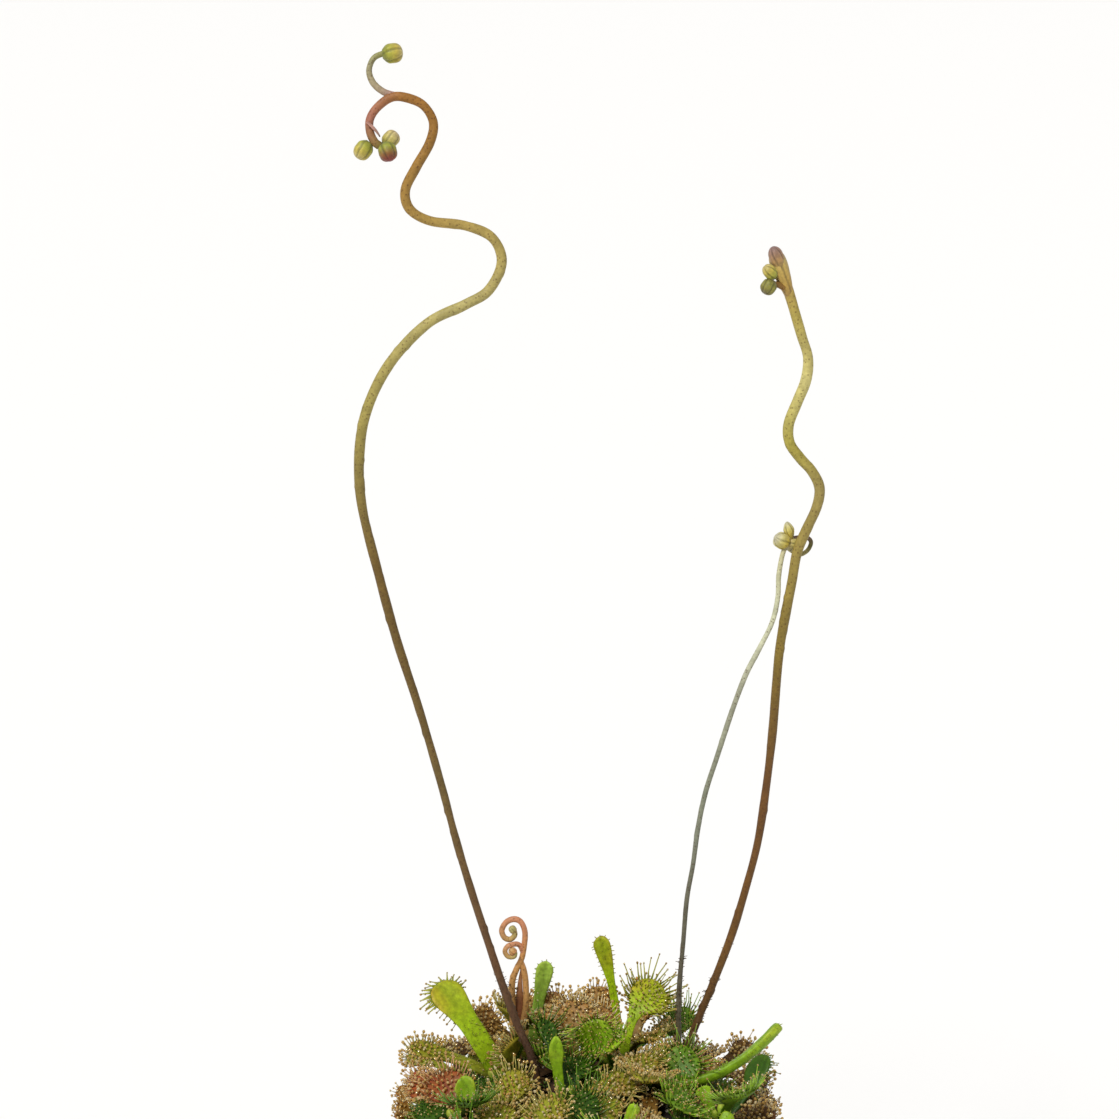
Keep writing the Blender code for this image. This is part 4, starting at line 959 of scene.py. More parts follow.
def add_piece(name, skins, material, slot, *nodes):
    """A smooth mesh piece from skins in millimetres, on the one body, in the place of the nodes."""
    points, quads, triangles, tint = join(skins)
    mesh = bpy.data.meshes.new(name)
    mesh.vertices.add(len(points))
    mesh.vertices.foreach_set("co", (points * MM).astype(np.float32).ravel())
    corners = np.concatenate([quads.ravel(), triangles.ravel()]).astype(np.int32)
    mesh.loops.add(len(corners))
    mesh.loops.foreach_set("vertex_index", corners)
    mesh.polygons.add(len(quads) + len(triangles))
    starts = [np.arange(len(quads)) * 4, quads.size + np.arange(len(triangles)) * 3]
    mesh.polygons.foreach_set("loop_start", np.concatenate(starts).astype(np.int32))
    mesh.update(calc_edges=True)
    mesh.validate()
    mesh.shade_smooth()
    colour = mesh.color_attributes.new("tint", "FLOAT_COLOR", "POINT")
    shades = np.concatenate([tint, np.ones((len(tint), 1))], axis=1).astype(np.float32)
    colour.data.foreach_set("color", shades.ravel())
    mesh.materials.append(material)
    piece = bpy.data.objects.new(name, mesh)
    bpy.context.scene.collection.objects.link(piece)
    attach(piece, BODY)
    if nodes:
        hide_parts(*nodes)
    return piece


def add_node(tree, kind, inputs=None, **settings):
    """A node with its settings; inputs maps a socket to a value or to another node's output."""
    node = tree.nodes.new(kind)
    for name, value in settings.items():
        setattr(node, name, value)
    for socket, value in (inputs or {}).items():
        if isinstance(value, bpy.types.NodeSocket):
            tree.links.new(value, node.inputs[socket])
        else:
            node.inputs[socket].default_value = value
    return node


def per_mm(size):
    """The texture scale whose features are about size millimetres, in object coordinates."""
    return 1.0 / (size * MM)


def start_material(name, sockets):
    """A Principled material; returns it with its tree, its shader and its object coordinates."""
    material = bpy.data.materials.new(name)
    material.use_nodes = True
    tree = material.node_tree
    shader = tree.nodes["Principled BSDF"]
    for socket, value in sockets.items():
        shader.inputs[socket].default_value = value
    place = add_node(tree, "ShaderNodeTexCoord").outputs["Object"]
    return material, tree, shader, place


def mottle(tree, place, base, size, low, high, detail=3.0):
    """The base colour, darkened and lightened between low and high by noise of a size in millimetres."""
    noise = add_node(tree, "ShaderNodeTexNoise", {"Vector": place, "Scale": per_mm(size), "Detail": detail})
    level = add_node(tree, "ShaderNodeMapRange", {0: noise.outputs[0], 1: 0.3, 2: 0.7, 3: low, 4: high})
    scaled = add_node(tree, "ShaderNodeVectorMath", {0: base, 1: level.outputs[0]}, operation="MULTIPLY")
    return scaled.outputs[0]


def press(tree, shader, place, size, depth, strength=1.0):
    """Bump on the shader from noise of a size and depth in millimetres."""
    noise = add_node(tree, "ShaderNodeTexNoise", {"Vector": place, "Scale": per_mm(size), "Detail": 2.0})
    bump = add_node(tree, "ShaderNodeBump", {"Height": noise.outputs[0], "Distance": depth * MM,
                                             "Strength": strength})
    tree.links.new(bump.outputs[0], shader.inputs["Normal"])
    return bump


def tinted(name, size, low, high, grain, depth, sockets):
    """A material of the piece's own tint, mottled by noise of one size and pitted by finer grain."""
    material, tree, shader, place = start_material(name, sockets)
    tint = add_node(tree, "ShaderNodeAttribute", attribute_name="tint").outputs["Color"]
    tree.links.new(mottle(tree, place, tint, size, low, high), shader.inputs["Base Color"])
    press(tree, shader, place, grain, depth)
    return material


def living_leaf():
    """Living sundew leaf: a waxy, watery skin, mottled by its cells, which glows a little when lit.

    Its cells are about 0.05 mm wide, too fine to show, so the mottle and the relief are drawn coarser.
    """
    return tinted("living_leaf", 0.7, 0.74, 1.26, 0.22, 0.05, {
        "Roughness": 0.42, "IOR": 1.42, "Specular IOR Level": 0.25, "Subsurface Weight": 0.12,
        "Subsurface Radius": (0.6, 1.0, 0.25), "Subsurface Scale": 0.5 * MM})


def tentacle_flesh():
    """Tentacle flesh: thin clear-walled hairs that end in a wet gland."""
    return tinted("tentacle_flesh", 0.5, 0.85, 1.15, 0.1, 0.01, {
        "Roughness": 0.28, "IOR": 1.40, "Subsurface Weight": 0.1, "Subsurface Radius": (0.8, 0.6, 0.4),
        "Subsurface Scale": 0.2 * MM})


def clear_mucilage():
    """Sundew mucilage: amber drops of glue, a little denser than water; some painted cream as a glint."""
    material, tree, shader, _ = start_material("clear_mucilage", {
        "Roughness": 0.03, "IOR": 1.37, "Transmission Weight": 0.62})
    tint = add_node(tree, "ShaderNodeAttribute", attribute_name="tint").outputs["Color"]
    tree.links.new(tint, shader.inputs["Base Color"])
    return material


def stalk_skin():
    """Flower stalk skin: satin and waxy, flecked by tiny red-brown glands and blushed in patches.

    The glands are about 0.1 mm wide, too fine to show, so a fleck is drawn up to 0.3 mm wide.
    """
    material, tree, shader, place = start_material("stalk_skin", {
        "Roughness": 0.5, "IOR": 1.42, "Specular IOR Level": 0.3})
    tint = add_node(tree, "ShaderNodeAttribute", attribute_name="tint").outputs["Color"]
    patchy = mottle(tree, place, mottle(tree, place, tint, 2.6, 0.84, 1.16), 0.45, 0.86, 1.14)
    cells = add_node(tree, "ShaderNodeTexVoronoi", {"Vector": place, "Scale": per_mm(0.55)})
    fleck = add_node(tree, "ShaderNodeMapRange", {
        0: cells.outputs["Distance"], 1: 0.16, 2: 0.3, 3: 0.55, 4: 0.0})
    gland = (*linear("#4a2418"), 1.0)
    colour = add_node(tree, "ShaderNodeMix", {0: fleck.outputs[0], 6: patchy, 7: gland}, data_type="RGBA")
    tree.links.new(colour.outputs[2], shader.inputs["Base Color"])
    press(tree, shader, place, 0.25, 0.05)
    return material


def sepal():
    """Sepals: thin matt green scales with a faint bloom of fine hairs."""
    return tinted("sepal", 0.5, 0.8, 1.2, 0.2, 0.04, {"Roughness": 0.5, "IOR": 1.42, "Sheen Weight": 0.2})


def dead_leaf():
    """Dead sundew leaf: dry, fibrous and dull, darker where it has begun to rot."""
    return tinted("dead_leaf", 1.2, 0.55, 1.35, 0.25, 0.08, {"Roughness": 0.85, "IOR": 1.35})


def cushion_moss():
    """Cushion moss: small translucent leaves, brighter at their tips."""
    return tinted("cushion_moss", 2.0, 0.7, 1.3, 0.2, 0.02, {"Roughness": 0.6, "IOR": 1.4})


def damp_peat():
    """Damp peat: crumbs and fibres of near-black brown, slightly glossy where water stands."""
    return tinted("damp_peat", 1.5, 0.55, 1.5, 0.35, 0.18, {"Roughness": 0.82, "IOR": 1.4})


def quartz_sand():
    """Quartz sand and perlite: hard pale grains with a dull crystal shine."""
    return tinted("quartz_sand", 0.6, 0.75, 1.15, 0.15, 0.03, {"Roughness": 0.45, "IOR": 1.54})


def moulded_polypropylene():
    """Black moulded polypropylene: a dark matt skin with a fine eroded grain, dusty and lime-marked.

    The mould's grain is about 0.1 mm, too fine to show, so it is drawn at 0.4 mm.
    """
    material, tree, shader, place = start_material("moulded_polypropylene", {"Roughness": 0.5, "IOR": 1.49})
    resin = (*linear(POT_COLOUR), 1.0)
    lime = (*linear("#77726a"), 1.0)
    drips = add_node(tree, "ShaderNodeMapping", {"Vector": place, "Scale": (1.0, 1.0, 0.25)}).outputs[0]
    marks = add_node(tree, "ShaderNodeTexNoise", {"Vector": drips, "Scale": per_mm(4.0), "Detail": 6.0})
    height = add_node(tree, "ShaderNodeSeparateXYZ", {"Vector": place}).outputs["Z"]
    near_rim = add_node(tree, "ShaderNodeMapRange", {
        0: height, 1: 20 * MM, 2: POT_HEIGHT * MM, 3: 0.0, 4: 0.55})
    patches = add_node(tree, "ShaderNodeMapRange", {0: marks.outputs[0], 1: 0.5, 2: 0.8})
    share = add_node(tree, "ShaderNodeMath", {0: patches.outputs[0], 1: near_rim.outputs[0]},
                     operation="MULTIPLY")
    colour = add_node(tree, "ShaderNodeMix", {0: share.outputs[0], 6: resin, 7: lime}, data_type="RGBA")
    tree.links.new(colour.outputs[2], shader.inputs["Base Color"])
    dull = add_node(tree, "ShaderNodeMapRange", {0: marks.outputs[0], 1: 0.3, 2: 0.8, 3: 0.42, 4: 0.7})
    tree.links.new(dull.outputs[0], shader.inputs["Roughness"])
    press(tree, shader, place, 0.4, 0.05)
    return material


def pale_paper():
    """Seamless studio paper: warm white and perfectly matt."""
    material, _, _, _ = start_material("pale_paper", {
        "Base Color": (*linear("#f4f3f1"), 1.0), "Roughness": 1.0})
    return material


def leaf_tones(leaf, rng):
    """A leaf's five colours, each a little lighter or darker than its tone."""
    return [linear(code) * rng.uniform(*TONE_VARIES) for code in TONES[leaf.tone][:5]]


def leaf_lift(leaf, half, side):
    """Height of a leaf's middle layer over its midrib plane: a bowl that rises with the side squared."""
    return KINDS[leaf.kind].cup * half * side * side


def leaf_skin(leaf, tones, rng):
    """A leaf: a rounded section carried along the midrib, its margin gently waved, its end closed.

    The section is an ellipse whose half height is its half thickness times the cosine to the power
    EDGE_ROUND, bent into a bowl by leaf_lift, with a shallow groove along the upper midrib. The
    blush is at the rim, round the end and in patches.
    """
    sides, stations, end = SEEDLING_MESH if leaf.kind == "seedling" else LEAF_MESH
    start, full = leaf_marks(leaf)
    round_end = full + (1 - full) * np.sin(np.linspace(0, math.pi / 2, end)[1:-1])
    along = np.concatenate([np.linspace(0, full, stations), round_end])
    points, _, across, outward = leaf_axes(leaf, along)
    half = leaf_half_width(leaf, along)
    if leaf.tip in SPINDLES:
        # Three quarters as wide at the foot, and narrowed again towards the tip
        half = half * (0.75 + 0.25 * ease(along / 0.5)) * (1 - 0.4 * ease((along - 0.62) / 0.36))
    turn = round_angles(sides)
    side, face = np.sin(turn), np.cos(turn)
    crest = np.sign(face) * np.abs(face) ** EDGE_ROUND
    thin = leaf.thick / 2 * np.clip(half / (0.3 * leaf.width), 0, 1) ** 0.6
    widened = ease((along - start) / (full - start))
    wave = rng.uniform(0, 2 * math.pi)
    waved = WAVE_DEPTH * widened[:, None] * side ** 2 * np.sin(16 * along[:, None] + 2 * side + wave)
    groove = GROOVE_DEPTH * widened[:, None] * np.exp(-(side / GROOVE_WIDTH) ** 2) * (face > 0)
    lift = leaf_lift(leaf, half[:, None], side) + crest * thin[:, None] + waved - groove
    rings = section_rings(points, across, outward, half[:, None] * side, lift)
    petiole, lamina, blush = tones[:3]
    share = widened[:, None, None]
    tint = petiole * (1 - share) + lamina * share
    past = np.clip((along - full) / (1 - full), 0, 1)[:, None]
    patch = BLUSH_PATCH * ease(1.6 * ripple(rings, BLUSH_SIZE, int(rng.integers(999))) - 0.2)
    rim = np.clip(BLUSH_RIM * np.abs(side) ** 5 + BLUSH_END * past ** 2 + patch, 0, 1)[..., None] * share
    tint = tint * (1 - rim) + blush * rim
    vein = VEIN_SHADE * np.exp(-(side / VEIN_WIDTH) ** 2) * (face > 0)
    tint = tint * (1 - vein[None, :, None] * share)
    # Painted shade: each leaf is darker towards its base, deep among the crowded leaves
    tint = tint * (1 - BASE_PAINTED_SHADE * (1 - np.clip(along / (BASE_REACH * start), 0, 1)))[:, None, None]
    return closed_tube(rings, tint, tip=leaf.tip)


def margin_sites(leaf, rng):
    """Along, lateral, forward lean and sideways lean of the tentacles round a lamina's edge."""
    start, full = leaf_marks(leaf)
    length = leaf_length(leaf)
    spacing = GROWTH[leaf.kind].apart
    lowest = start + FRINGES.get(leaf.tip, PLAIN_FRINGE)[2] * (full - start)
    run = np.arange(lowest, full, spacing / length)
    bend = np.arange(-0.5 * math.pi, 0.5 * math.pi, 2 * spacing / leaf.width)
    along = np.concatenate([run, run, full + (1 - full) * 0.96 * np.cos(bend)])
    sides = np.concatenate([np.ones(len(run)), -np.ones(len(run)), np.sin(bend)])
    half = leaf_half_width(leaf, np.concatenate([run, run, np.full(len(bend), full)]))
    lateral = MARGIN_ROOTS * half * sides
    ahead = np.concatenate([np.full(2 * len(run), 0.1), np.cos(bend)])
    jitter = rng.normal(0, AIM_STRAYS, (2, len(along)))
    return along, lateral, ahead + jitter[0], sides + jitter[1]


def face_sites(leaf, rng):
    """Along, lateral, forward lean and sideways lean of the tentacles on a lamina's upper face."""
    start, full = leaf_marks(leaf)
    length = leaf_length(leaf)
    spacing = GROWTH[leaf.kind].face_apart
    lowest, highest = FACE_RUN
    rows = np.arange(start + lowest * (full - start), 1.0, spacing / length)
    columns = np.arange(-leaf.width / 2, leaf.width / 2, spacing)
    along, lateral = (grid.ravel() for grid in np.meshgrid(rows, columns, indexing="ij"))
    lateral = lateral + (np.arange(len(lateral)) // len(columns) % 2) * spacing / 2
    along = along + rng.uniform(-FACE_SCATTER, FACE_SCATTER, len(along)) * spacing / length
    lateral = lateral + rng.uniform(-FACE_SCATTER, FACE_SCATTER, len(along)) * spacing
    half = leaf_half_width(leaf, np.clip(along, 0, 1))
    inside = (np.abs(lateral) < half * FACE_ROOTS) & (along < highest)
    along, lateral, half = along[inside], lateral[inside], half[inside]
    middle = (start + 1.0) / 2
    ahead = (along - middle) / (1 - middle)
    return along, lateral, ahead, lateral / half


def petiole_sites(leaf, rng):
    """Along, lateral, forward lean and sideways lean of the short hairs on a petiole."""
    start, _ = leaf_marks(leaf)
    count = int(PETIOLE_HAIRS * start * leaf_length(leaf) * leaf.petiole)
    along = start * rng.uniform(*PETIOLE_RUN, count)
    side = rng.uniform(-PETIOLE_SIDE, PETIOLE_SIDE, count)
    return along, side * leaf_half_width(leaf, along), rng.normal(0, PETIOLE_LEAN, count), side


def leaf_hairs(leaf, rng):
    """A leaf's tentacles: long round the margin, shorter on the face, and short hairs on the petiole.

    Each root lies on the skin, HAIR_SUNK under it. Its aim adds the two leans of its site to a rise
    out of the face. A face tentacle grows longer with the square of its distance from the middle.
    """
    growth = GROWTH[leaf.kind]
    long, stout, _ = FRINGES.get(leaf.tip, PLAIN_FRINGE)
    kinds = [margin_sites, face_sites]
    if leaf.kind != "seedling":
        kinds.append(petiole_sites)
    sets = []
    for sites in kinds:
        along, lateral, ahead, aside = sites(leaf, rng)
        count = len(along)
        flip = -1.0 if leaf.tip in BACKED and sites is not petiole_sites else 1.0
        points, forward, across, outward = leaf_axes(leaf, along)
        outward = outward * flip
        half = np.maximum(leaf_half_width(leaf, along), 0.2)
        side = np.clip(lateral / half, -1, 1)
        layer = leaf_lift(leaf, half, side) * flip
        skin = leaf.thick / 2 * np.maximum(1 - side * side, 0.02) ** (EDGE_ROUND / 2)
        rise = np.full(count, FACE_RISE)
        thick = growth.thick * FACE_THIN
        drops = growth.drops
        if sites is margin_sites:
            skin = np.zeros(count)
            rise = rng.uniform(*MARGIN_RISE, count)
            lengths = rng.uniform(*growth.lengths, count) * long
            thick = growth.thick * stout
        elif sites is face_sites:
            low, high = growth.face_lengths
            edge = np.clip(np.hypot(side, ahead), 0, 1)
            lengths = (low + (high - low) * edge ** 2) * rng.uniform(*FACE_VARIES, count)
        else:
            lengths = rng.uniform(*PETIOLE_LENGTH, count)
            thick = PETIOLE_THICK
            drops = PETIOLE_DROP
        roots = points + across * lateral[:, None] + outward * (layer + skin - HAIR_SUNK)[:, None]
        aims = unit(forward * ahead[:, None] + across * aside[:, None] + outward * rise[:, None])
        curl = rng.uniform(*HAIR_CURL, count)[:, None]
        bends = outward * curl + rng.normal(0, HAIR_STRAYS, (count, 3))
        radii = rng.uniform(*drops, count)
        # One draw per tentacle: it shades its gland and sets how much painted glint its drop has
        reds = rng.uniform(0.0, 0.5, count)
        sets.append(Hairs(roots, aims, bends, lengths, np.full(count, thick), radii, reds))
    return Hairs(*(np.concatenate(parts) for parts in zip(*sets)))


def hair_points(hairs, share):
    """Where each hair has run a share of its length: root + aim t + bend t squared."""
    reach = (hairs.lengths * share)[:, None]
    return hairs.roots + hairs.aims * reach + hairs.bends * reach ** 2


def clear_hairs(hairs, owner, obstacles, owners):
    """The tentacles that fit: one that meets another leaf, a stalk or the pot is shortened or left out.

    A ray runs from each root to its end. It passes through the leaf that the tentacle grows from,
    and stops at the first face of any other.
    """
    keep = np.ones(len(hairs.roots), bool)
    lengths = hairs.lengths.copy()
    ends = hair_points(hairs, 1.0)
    for number, (root, end) in enumerate(zip(hairs.roots, ends)):
        run = end - root
        reach = float(np.linalg.norm(run))
        ahead = Vector(run / reach)
        start = Vector(root)
        gone = 0.0
        while True:
            _, _, face, away = obstacles.ray_cast(start, ahead, reach + hairs.drops[number] - gone)
            if face is None:
                break
            gone += away
            if owners[face] != owner:
                room = gone - hairs.drops[number] - HAIR_GAP
                keep[number] = room > LEAST_HAIR
                lengths[number] = min(lengths[number], max(room, LEAST_HAIR))
                break
            start = start + ahead * (away + RAY_STEP)
            gone += RAY_STEP
    ground = soil_height(ends[:, 0], ends[:, 1]) + hairs.drops
    keep &= (ends[:, 2] > ground) | (np.hypot(ends[:, 0], ends[:, 1]) > RIM_RADIUS)
    return Hairs(*(part[keep] for part in hairs._replace(lengths=lengths)))


def beads(centres, ahead, size, shape):
    """Rings and the two poles of many small closed bodies, each of its own size and direction.

    The shape gives each ring's place along ahead, its girth and its spin, then the poles' places and
    the points in a ring; places and girths are in sizes.
    """
    rings, poles, sides = shape
    first, second = hair_frame(ahead)
    bodies = [ring_at(centres + ahead * (size * at)[:, None], first, second, size * girth, sides, spin)
              for at, girth, spin in rings]
    heel, crown = (centres + ahead * (size * at)[:, None] for at in poles)
    return np.stack(bodies, axis=1), heel, crown


def hair_skins(hairs, tones, wet_share=1.0):
    """Tentacle stems with their glands, and the drops round the glands, swollen by wet_share.

    A stem follows hair_points, tapering from a wider foot. Its gland is a short egg, and its drop is
    a ball of two rings and two poles, drawn out a little along the stem.
    """
    _, lamina, _, stem, gland = tones
    first, second = hair_frame(hairs.aims)
    rings, shades = [], []
    for share, girth in STEM_SHAPE:
        rings.append(ring_at(hair_points(hairs, share), first, second, hairs.thick * girth, 3))
        # Painted shade: each stem starts darker than its leaf, where the tentacles crowd
        colour = lamina * (1 - FOOT_PAINTED_SHADE) * (1 - share) ** 2 + stem * (1 - (1 - share) ** 2)
        shades.append(np.broadcast_to(colour, rings[-1].shape))
    stems = closed_tubes(np.stack(rings, axis=1), np.stack(shades, axis=1))
    ends = hair_points(hairs, 1.0)
    ahead = unit(hairs.aims + 2 * hairs.bends * hairs.lengths[:, None])
    size = np.maximum(hairs.drops * 0.5, hairs.thick * 0.9)
    red = gland * (1 - hairs.reds[:, None]) + stem * hairs.reds[:, None]
    eggs, heel, crown = beads(ends, ahead, size, GLAND_SHAPE)
    glands = closed_tubes(eggs, red[:, None, None], heel, crown)
    wet = hairs.drops > LEAST_DROP
    # Each drop's colour: amber glue, lightened towards cream by a painted glint as its draw grows
    dew_and_glint = colour_along((2 * hairs.reds[wet]) ** 1.3, DEW_AND_GLINT_COLOURS)[:, None, None]
    balls, heel, crown = beads(ends[wet], ahead[wet], hairs.drops[wet] * wet_share, DROP_SHAPE)
    return join([stems, glands]), closed_tubes(balls, dew_and_glint, heel, crown)


def obstacle_tree(leaves):
    """One search tree of every leaf, stalk and the pot, with the owner of each of its faces."""
    meshes = [leaf_mesh(leaf) for leaf in leaves] + stalk_meshes()
    meshes.append(turned(packed_pot_profile(), POT_SIDES))
    points, faces, owners = [], [], []
    for owner, (own_points, own_faces) in enumerate(meshes):
        start = len(points)
        points.extend(tuple(point) for point in own_points)
        faces.extend(tuple(corner + start for corner in face) for face in own_faces)
        owners.extend([owner] * len(own_faces))
    return BVHTree.FromPolygons(points, faces), owners


def crown_skin(rosette, rng):
    """A rosette's short stem, with the pale tips of its next leaves curled in the middle."""
    x, y, z = crown_top(rosette)
    small = rosette in SEEDLINGS
    scale = SEEDLING_SCALE if small else 1.0
    least = max(scale, SEEDLING_LEAST)
    radius = CROWN_RADIUS * scale
    profile = ((radius, z - CROWN_DEPTH * scale), (radius, z - 2.2 * scale),
               (radius * 0.85, z - 1.1 * scale), (radius * 0.55, z - 0.35 * scale), (radius * 0.25, z))
    shades = colour_along(np.linspace(0, 1, len(profile)), CROWN_COLOURS)
    rings = turned_rings(profile, SMALL_ROUND if small else CROWN_ROUND, (x, y))
    skins = [closed_tube(rings, shades[:, None])]
    shades = colour_along(np.array([at for at, _ in BUDDING_SHAPE]), BUDDING_COLOURS)
    for number in range(SMALL_BUDDING if small else BUDDING_LEAVES):
        turn = number * GOLDEN_ANGLE + rng.uniform(0, 0.5)
        out = np.array([math.cos(turn), math.sin(turn), 0.0])
        foot = np.array([x, y, z - 0.8 * scale]) + out * (0.3 + 0.25 * number) * scale
        aim = unit(np.array([0, 0, 1.0]) + out * 0.18 * number)
        girth = (0.45 + 0.06 * number) * least
        tall = (1.6 + 0.35 * number) * least
        first, second = hair_frame(aim[None])
        rings = [ring_at((foot + aim * tall * at)[None], first, second, [girth * wide], SMALL_ROUND)
                 for at, wide in BUDDING_SHAPE]
        skins.append(closed_tube(np.concatenate(rings), shades[:, None]))
    return skins


def make_rosettes(skin_material, hair_material, dew_material):
    """Every rosette in three pieces, its leaves, its tentacles and its dew; the seedlings likewise."""
    rng = np.random.default_rng(ROSETTE_SEED)
    leaves = lay_out_leaves()
    leaves = [choose_tone(leaf, rng) for leaf in leaves + lay_out_seedlings(leaves)]
    obstacles, owners = obstacle_tree(leaves)
    groups = [("rosette_" + name, (name,)) for name in CROWNS] + [("seedlings", tuple(SEEDLINGS))]
    for group, rosettes in groups:
        blades, stems, drops = [], [], []
        for rosette in rosettes:
            blades += crown_skin(rosette, rng)
        for owner, leaf in enumerate(leaves):
            if leaf.rosette not in rosettes:
                continue
            tones = leaf_tones(leaf, rng)
            blades.append(leaf_skin(leaf, tones, rng))
            wet = TONES[leaf.tone].wet
            hairs = leaf_hairs(leaf, rng)
            hairs = hairs._replace(lengths=hairs.lengths * (WET_SHORT - WET_SHORTER * wet))
            stem, drop = hair_skins(clear_hairs(hairs, owner, obstacles, owners), tones, wet)
            stems.append(stem)
            drops.append(drop)
        nodes = () if group == "seedlings" else (group,)
        add_piece(group + "_leaves", blades, skin_material, "sundew_leaf", *nodes)
        add_piece(group + "_tentacles", stems, hair_material, "sundew_leaf", *nodes)
        add_piece(group + "_dew", drops, dew_material, "sundew_leaf", *nodes)


def stalk_tube(route, radii, codes):
    """A stalk's tube, in colours that run along it.

    Its radius swells slightly every few millimetres, and low knobs stand on it that fade with the
    square of the share still to go: old gland bases.
    """
    line = smooth_route(route, STALK_STEPS)
    rings = tube_rings(line, radii, STALK_ROUND)
    centres = rings.mean(axis=1, keepdims=True)
    left = np.linspace(1, 0, len(line))[:, None] ** 2
    knobs = KNOB * left * ease(ripple(rings, KNOB_SIZE, 4) - 0.8)
    swell = 1 + (SWELL * ripple(centres, SWELL_SIZE, 3) + knobs)[..., None]
    rings = centres + (rings - centres) * swell
    shades = colour_along(np.linspace(0, 1, len(line)), codes)
    return closed_tube(rings, shades[:, None], tip=line[-1] + unit(line[-1] - line[-2]) * radii[-1] * 0.6)


def stalk_hairs(route, radius, low, high, count, rng):
    """Short glandular hairs that stand out all round a stalk's lowest stretch, thickest at the foot."""
    line = smooth_route(route, 6)
    line = line[(line[:, 2] > low) & (line[:, 2] < high)]
    picks = (len(line) - 1) * rng.uniform(0, 1, count) ** 1.5
    spots = np.stack([np.interp(picks, np.arange(len(line)), line[:, axis]) for axis in range(3)], axis=1)
    turns = rng.uniform(0, 2 * math.pi, count)
    aims = unit(np.stack([np.cos(turns), np.sin(turns), rng.uniform(*STALK_HAIR_RISE, count)], axis=1))
    bends = rng.normal(0, STALK_HAIR_STRAYS, (count, 3))
    lengths = rng.uniform(*STALK_HAIR_LENGTH, count)
    drops = rng.uniform(*STALK_HAIR_DROP, count)
    thick, reds = np.full(count, STALK_HAIR_THICK), np.full(count, STALK_HAIR_RED)
    return Hairs(spots + aims * radius * 0.8, aims, bends, lengths, thick, drops, reds)


def bud_skin(bud):
    """A bud: sepals that swell from a foot to a shoulder, then close over the top.

    The radius rises with the sine of the share up to the shoulder, from low times the full width,
    and past 0.55 of the length it falls as the root of 1 less the share to the power blunt. A
    crease runs up it where two sepals meet, and each sepal's own edge is paler.
    """
    ahead = unit(bud.pointing)
    first, second = (part[0] for part in hair_frame(ahead[None]))
    closing = BUD_CLOSES + BUD_CLOSING * np.sin(np.linspace(0, math.pi / 2, BUD_END_RINGS + 1)[1:])
    share = np.concatenate([np.linspace(0.0, BUD_CLOSES, BUD_RINGS), closing])[:, None]
    angles = round_angles(BUD_ROUND)[None]
    swell = bud.low + (1 - bud.low) * np.sin(math.pi / 2 * np.clip(share / bud.shoulder, 0, 1))
    top = np.sqrt(1 - np.clip((share - 0.55) / 0.45, 0, 1) ** bud.blunt)
    spiral = angles + bud.turn + SEPAL_TWIST * share
    apart = spiral % (2 * math.pi / SEPALS) - math.pi / SEPALS
    crease = np.exp(-(apart / CREASE_WIDTH) ** 2)
    bulge = SEPAL_BULGE * np.cos(SEPALS * spiral) * ease(share * 2 - 1)
    lobed = 1 - CREASE_DEPTH * crease * ease(share * 3) + bulge
    reach = (bud.width / 2 * swell * top * lobed)[..., None]
    centres = np.array(bud.centre) + ahead * (share - 0.5)[..., None] * bud.length
    rings = centres + reach * (np.cos(angles)[..., None] * first + np.sin(angles)[..., None] * second)
    pale = np.exp(-((np.abs(apart) - SEPAL_EDGE) / SEPAL_EDGE_WIDTH) ** 2) * ease(share * 2)
    # Painted shade darkens the creases where the sepals meet; each sepal's own edge is paler
    shade = 1 - CREASE_PAINTED_SHADE * crease + SEPAL_EDGE_PALE * pale
    shades = colour_along(share[:, 0], bud.codes)[:, None] * shade[..., None]
    foot = np.array(bud.centre) - ahead * bud.length * 0.52
    return closed_tube(rings, shades, foot, np.array(bud.centre) + ahead * bud.length * 0.5)


def bract_skin(bract):
    """A bract: a thin pointed scale, widest low down, curled over along its length."""
    foot, tip = np.array(bract.foot, float), np.array(bract.tip, float)
    share = np.linspace(0.0, 0.97, BRACT_RINGS)
    length = np.linalg.norm(tip - foot)
    ahead = unit(tip - foot)
    across = unit(np.cross(ahead, bract.facing))
    outward = np.cross(across, ahead)
    half = bract.width / 2 * np.sin(math.pi * (0.2 + 0.8 * share)) ** 0.8
    turn = round_angles(BRACT_ROUND)
    side, face = np.sin(turn), np.cos(turn)
    bow = bract.curl * length * share * (1 - share)
    lift = bow[:, None] + BRACT_THICK * face - BRACT_CUP * half[:, None] * side ** 2
    points = foot + ahead * (share * length)[:, None]
    rings = section_rings(points, across[None], outward[None], half[:, None] * side, lift)
    return closed_tube(rings, colour_along(share, bract.codes)[:, None], tip=tip)


def make_stalks(skin_material, bud_material, hair_material):
    """The four flower stalks, each in three pieces: tubes, buds with bracts, and hairs round the base."""
    rng = np.random.default_rng(STALK_SEED)
    tones = [linear(code) for code in STALK_HAIR_TONES]
    for name, stalk in STALKS.items():
        node = "stalk_" + name
        heads = [bud_skin(bud) for bud in stalk.buds] + [bract_skin(bract) for bract in stalk.bracts]
        stems, _ = hair_skins(stalk_hairs(stalk.tubes[0][0], *stalk.hairs, rng), tones)
        tubes = [stalk_tube(*tube) for tube in stalk.tubes]
        add_piece(node + "_stem", tubes, skin_material, stalk.slot, node)
        add_piece(node + "_buds", heads, bud_material, stalk.slot, node)
        add_piece(node + "_hairs", [stems], hair_material, stalk.slot, node)


def disc_spots(count, reach, rng):
    """Random places on a disc, evenly spread."""
    radius = reach * np.sqrt(rng.uniform(0, 1, count))
    turn = rng.uniform(0, 2 * math.pi, count)
    return radius * np.cos(turn), radius * np.sin(turn)


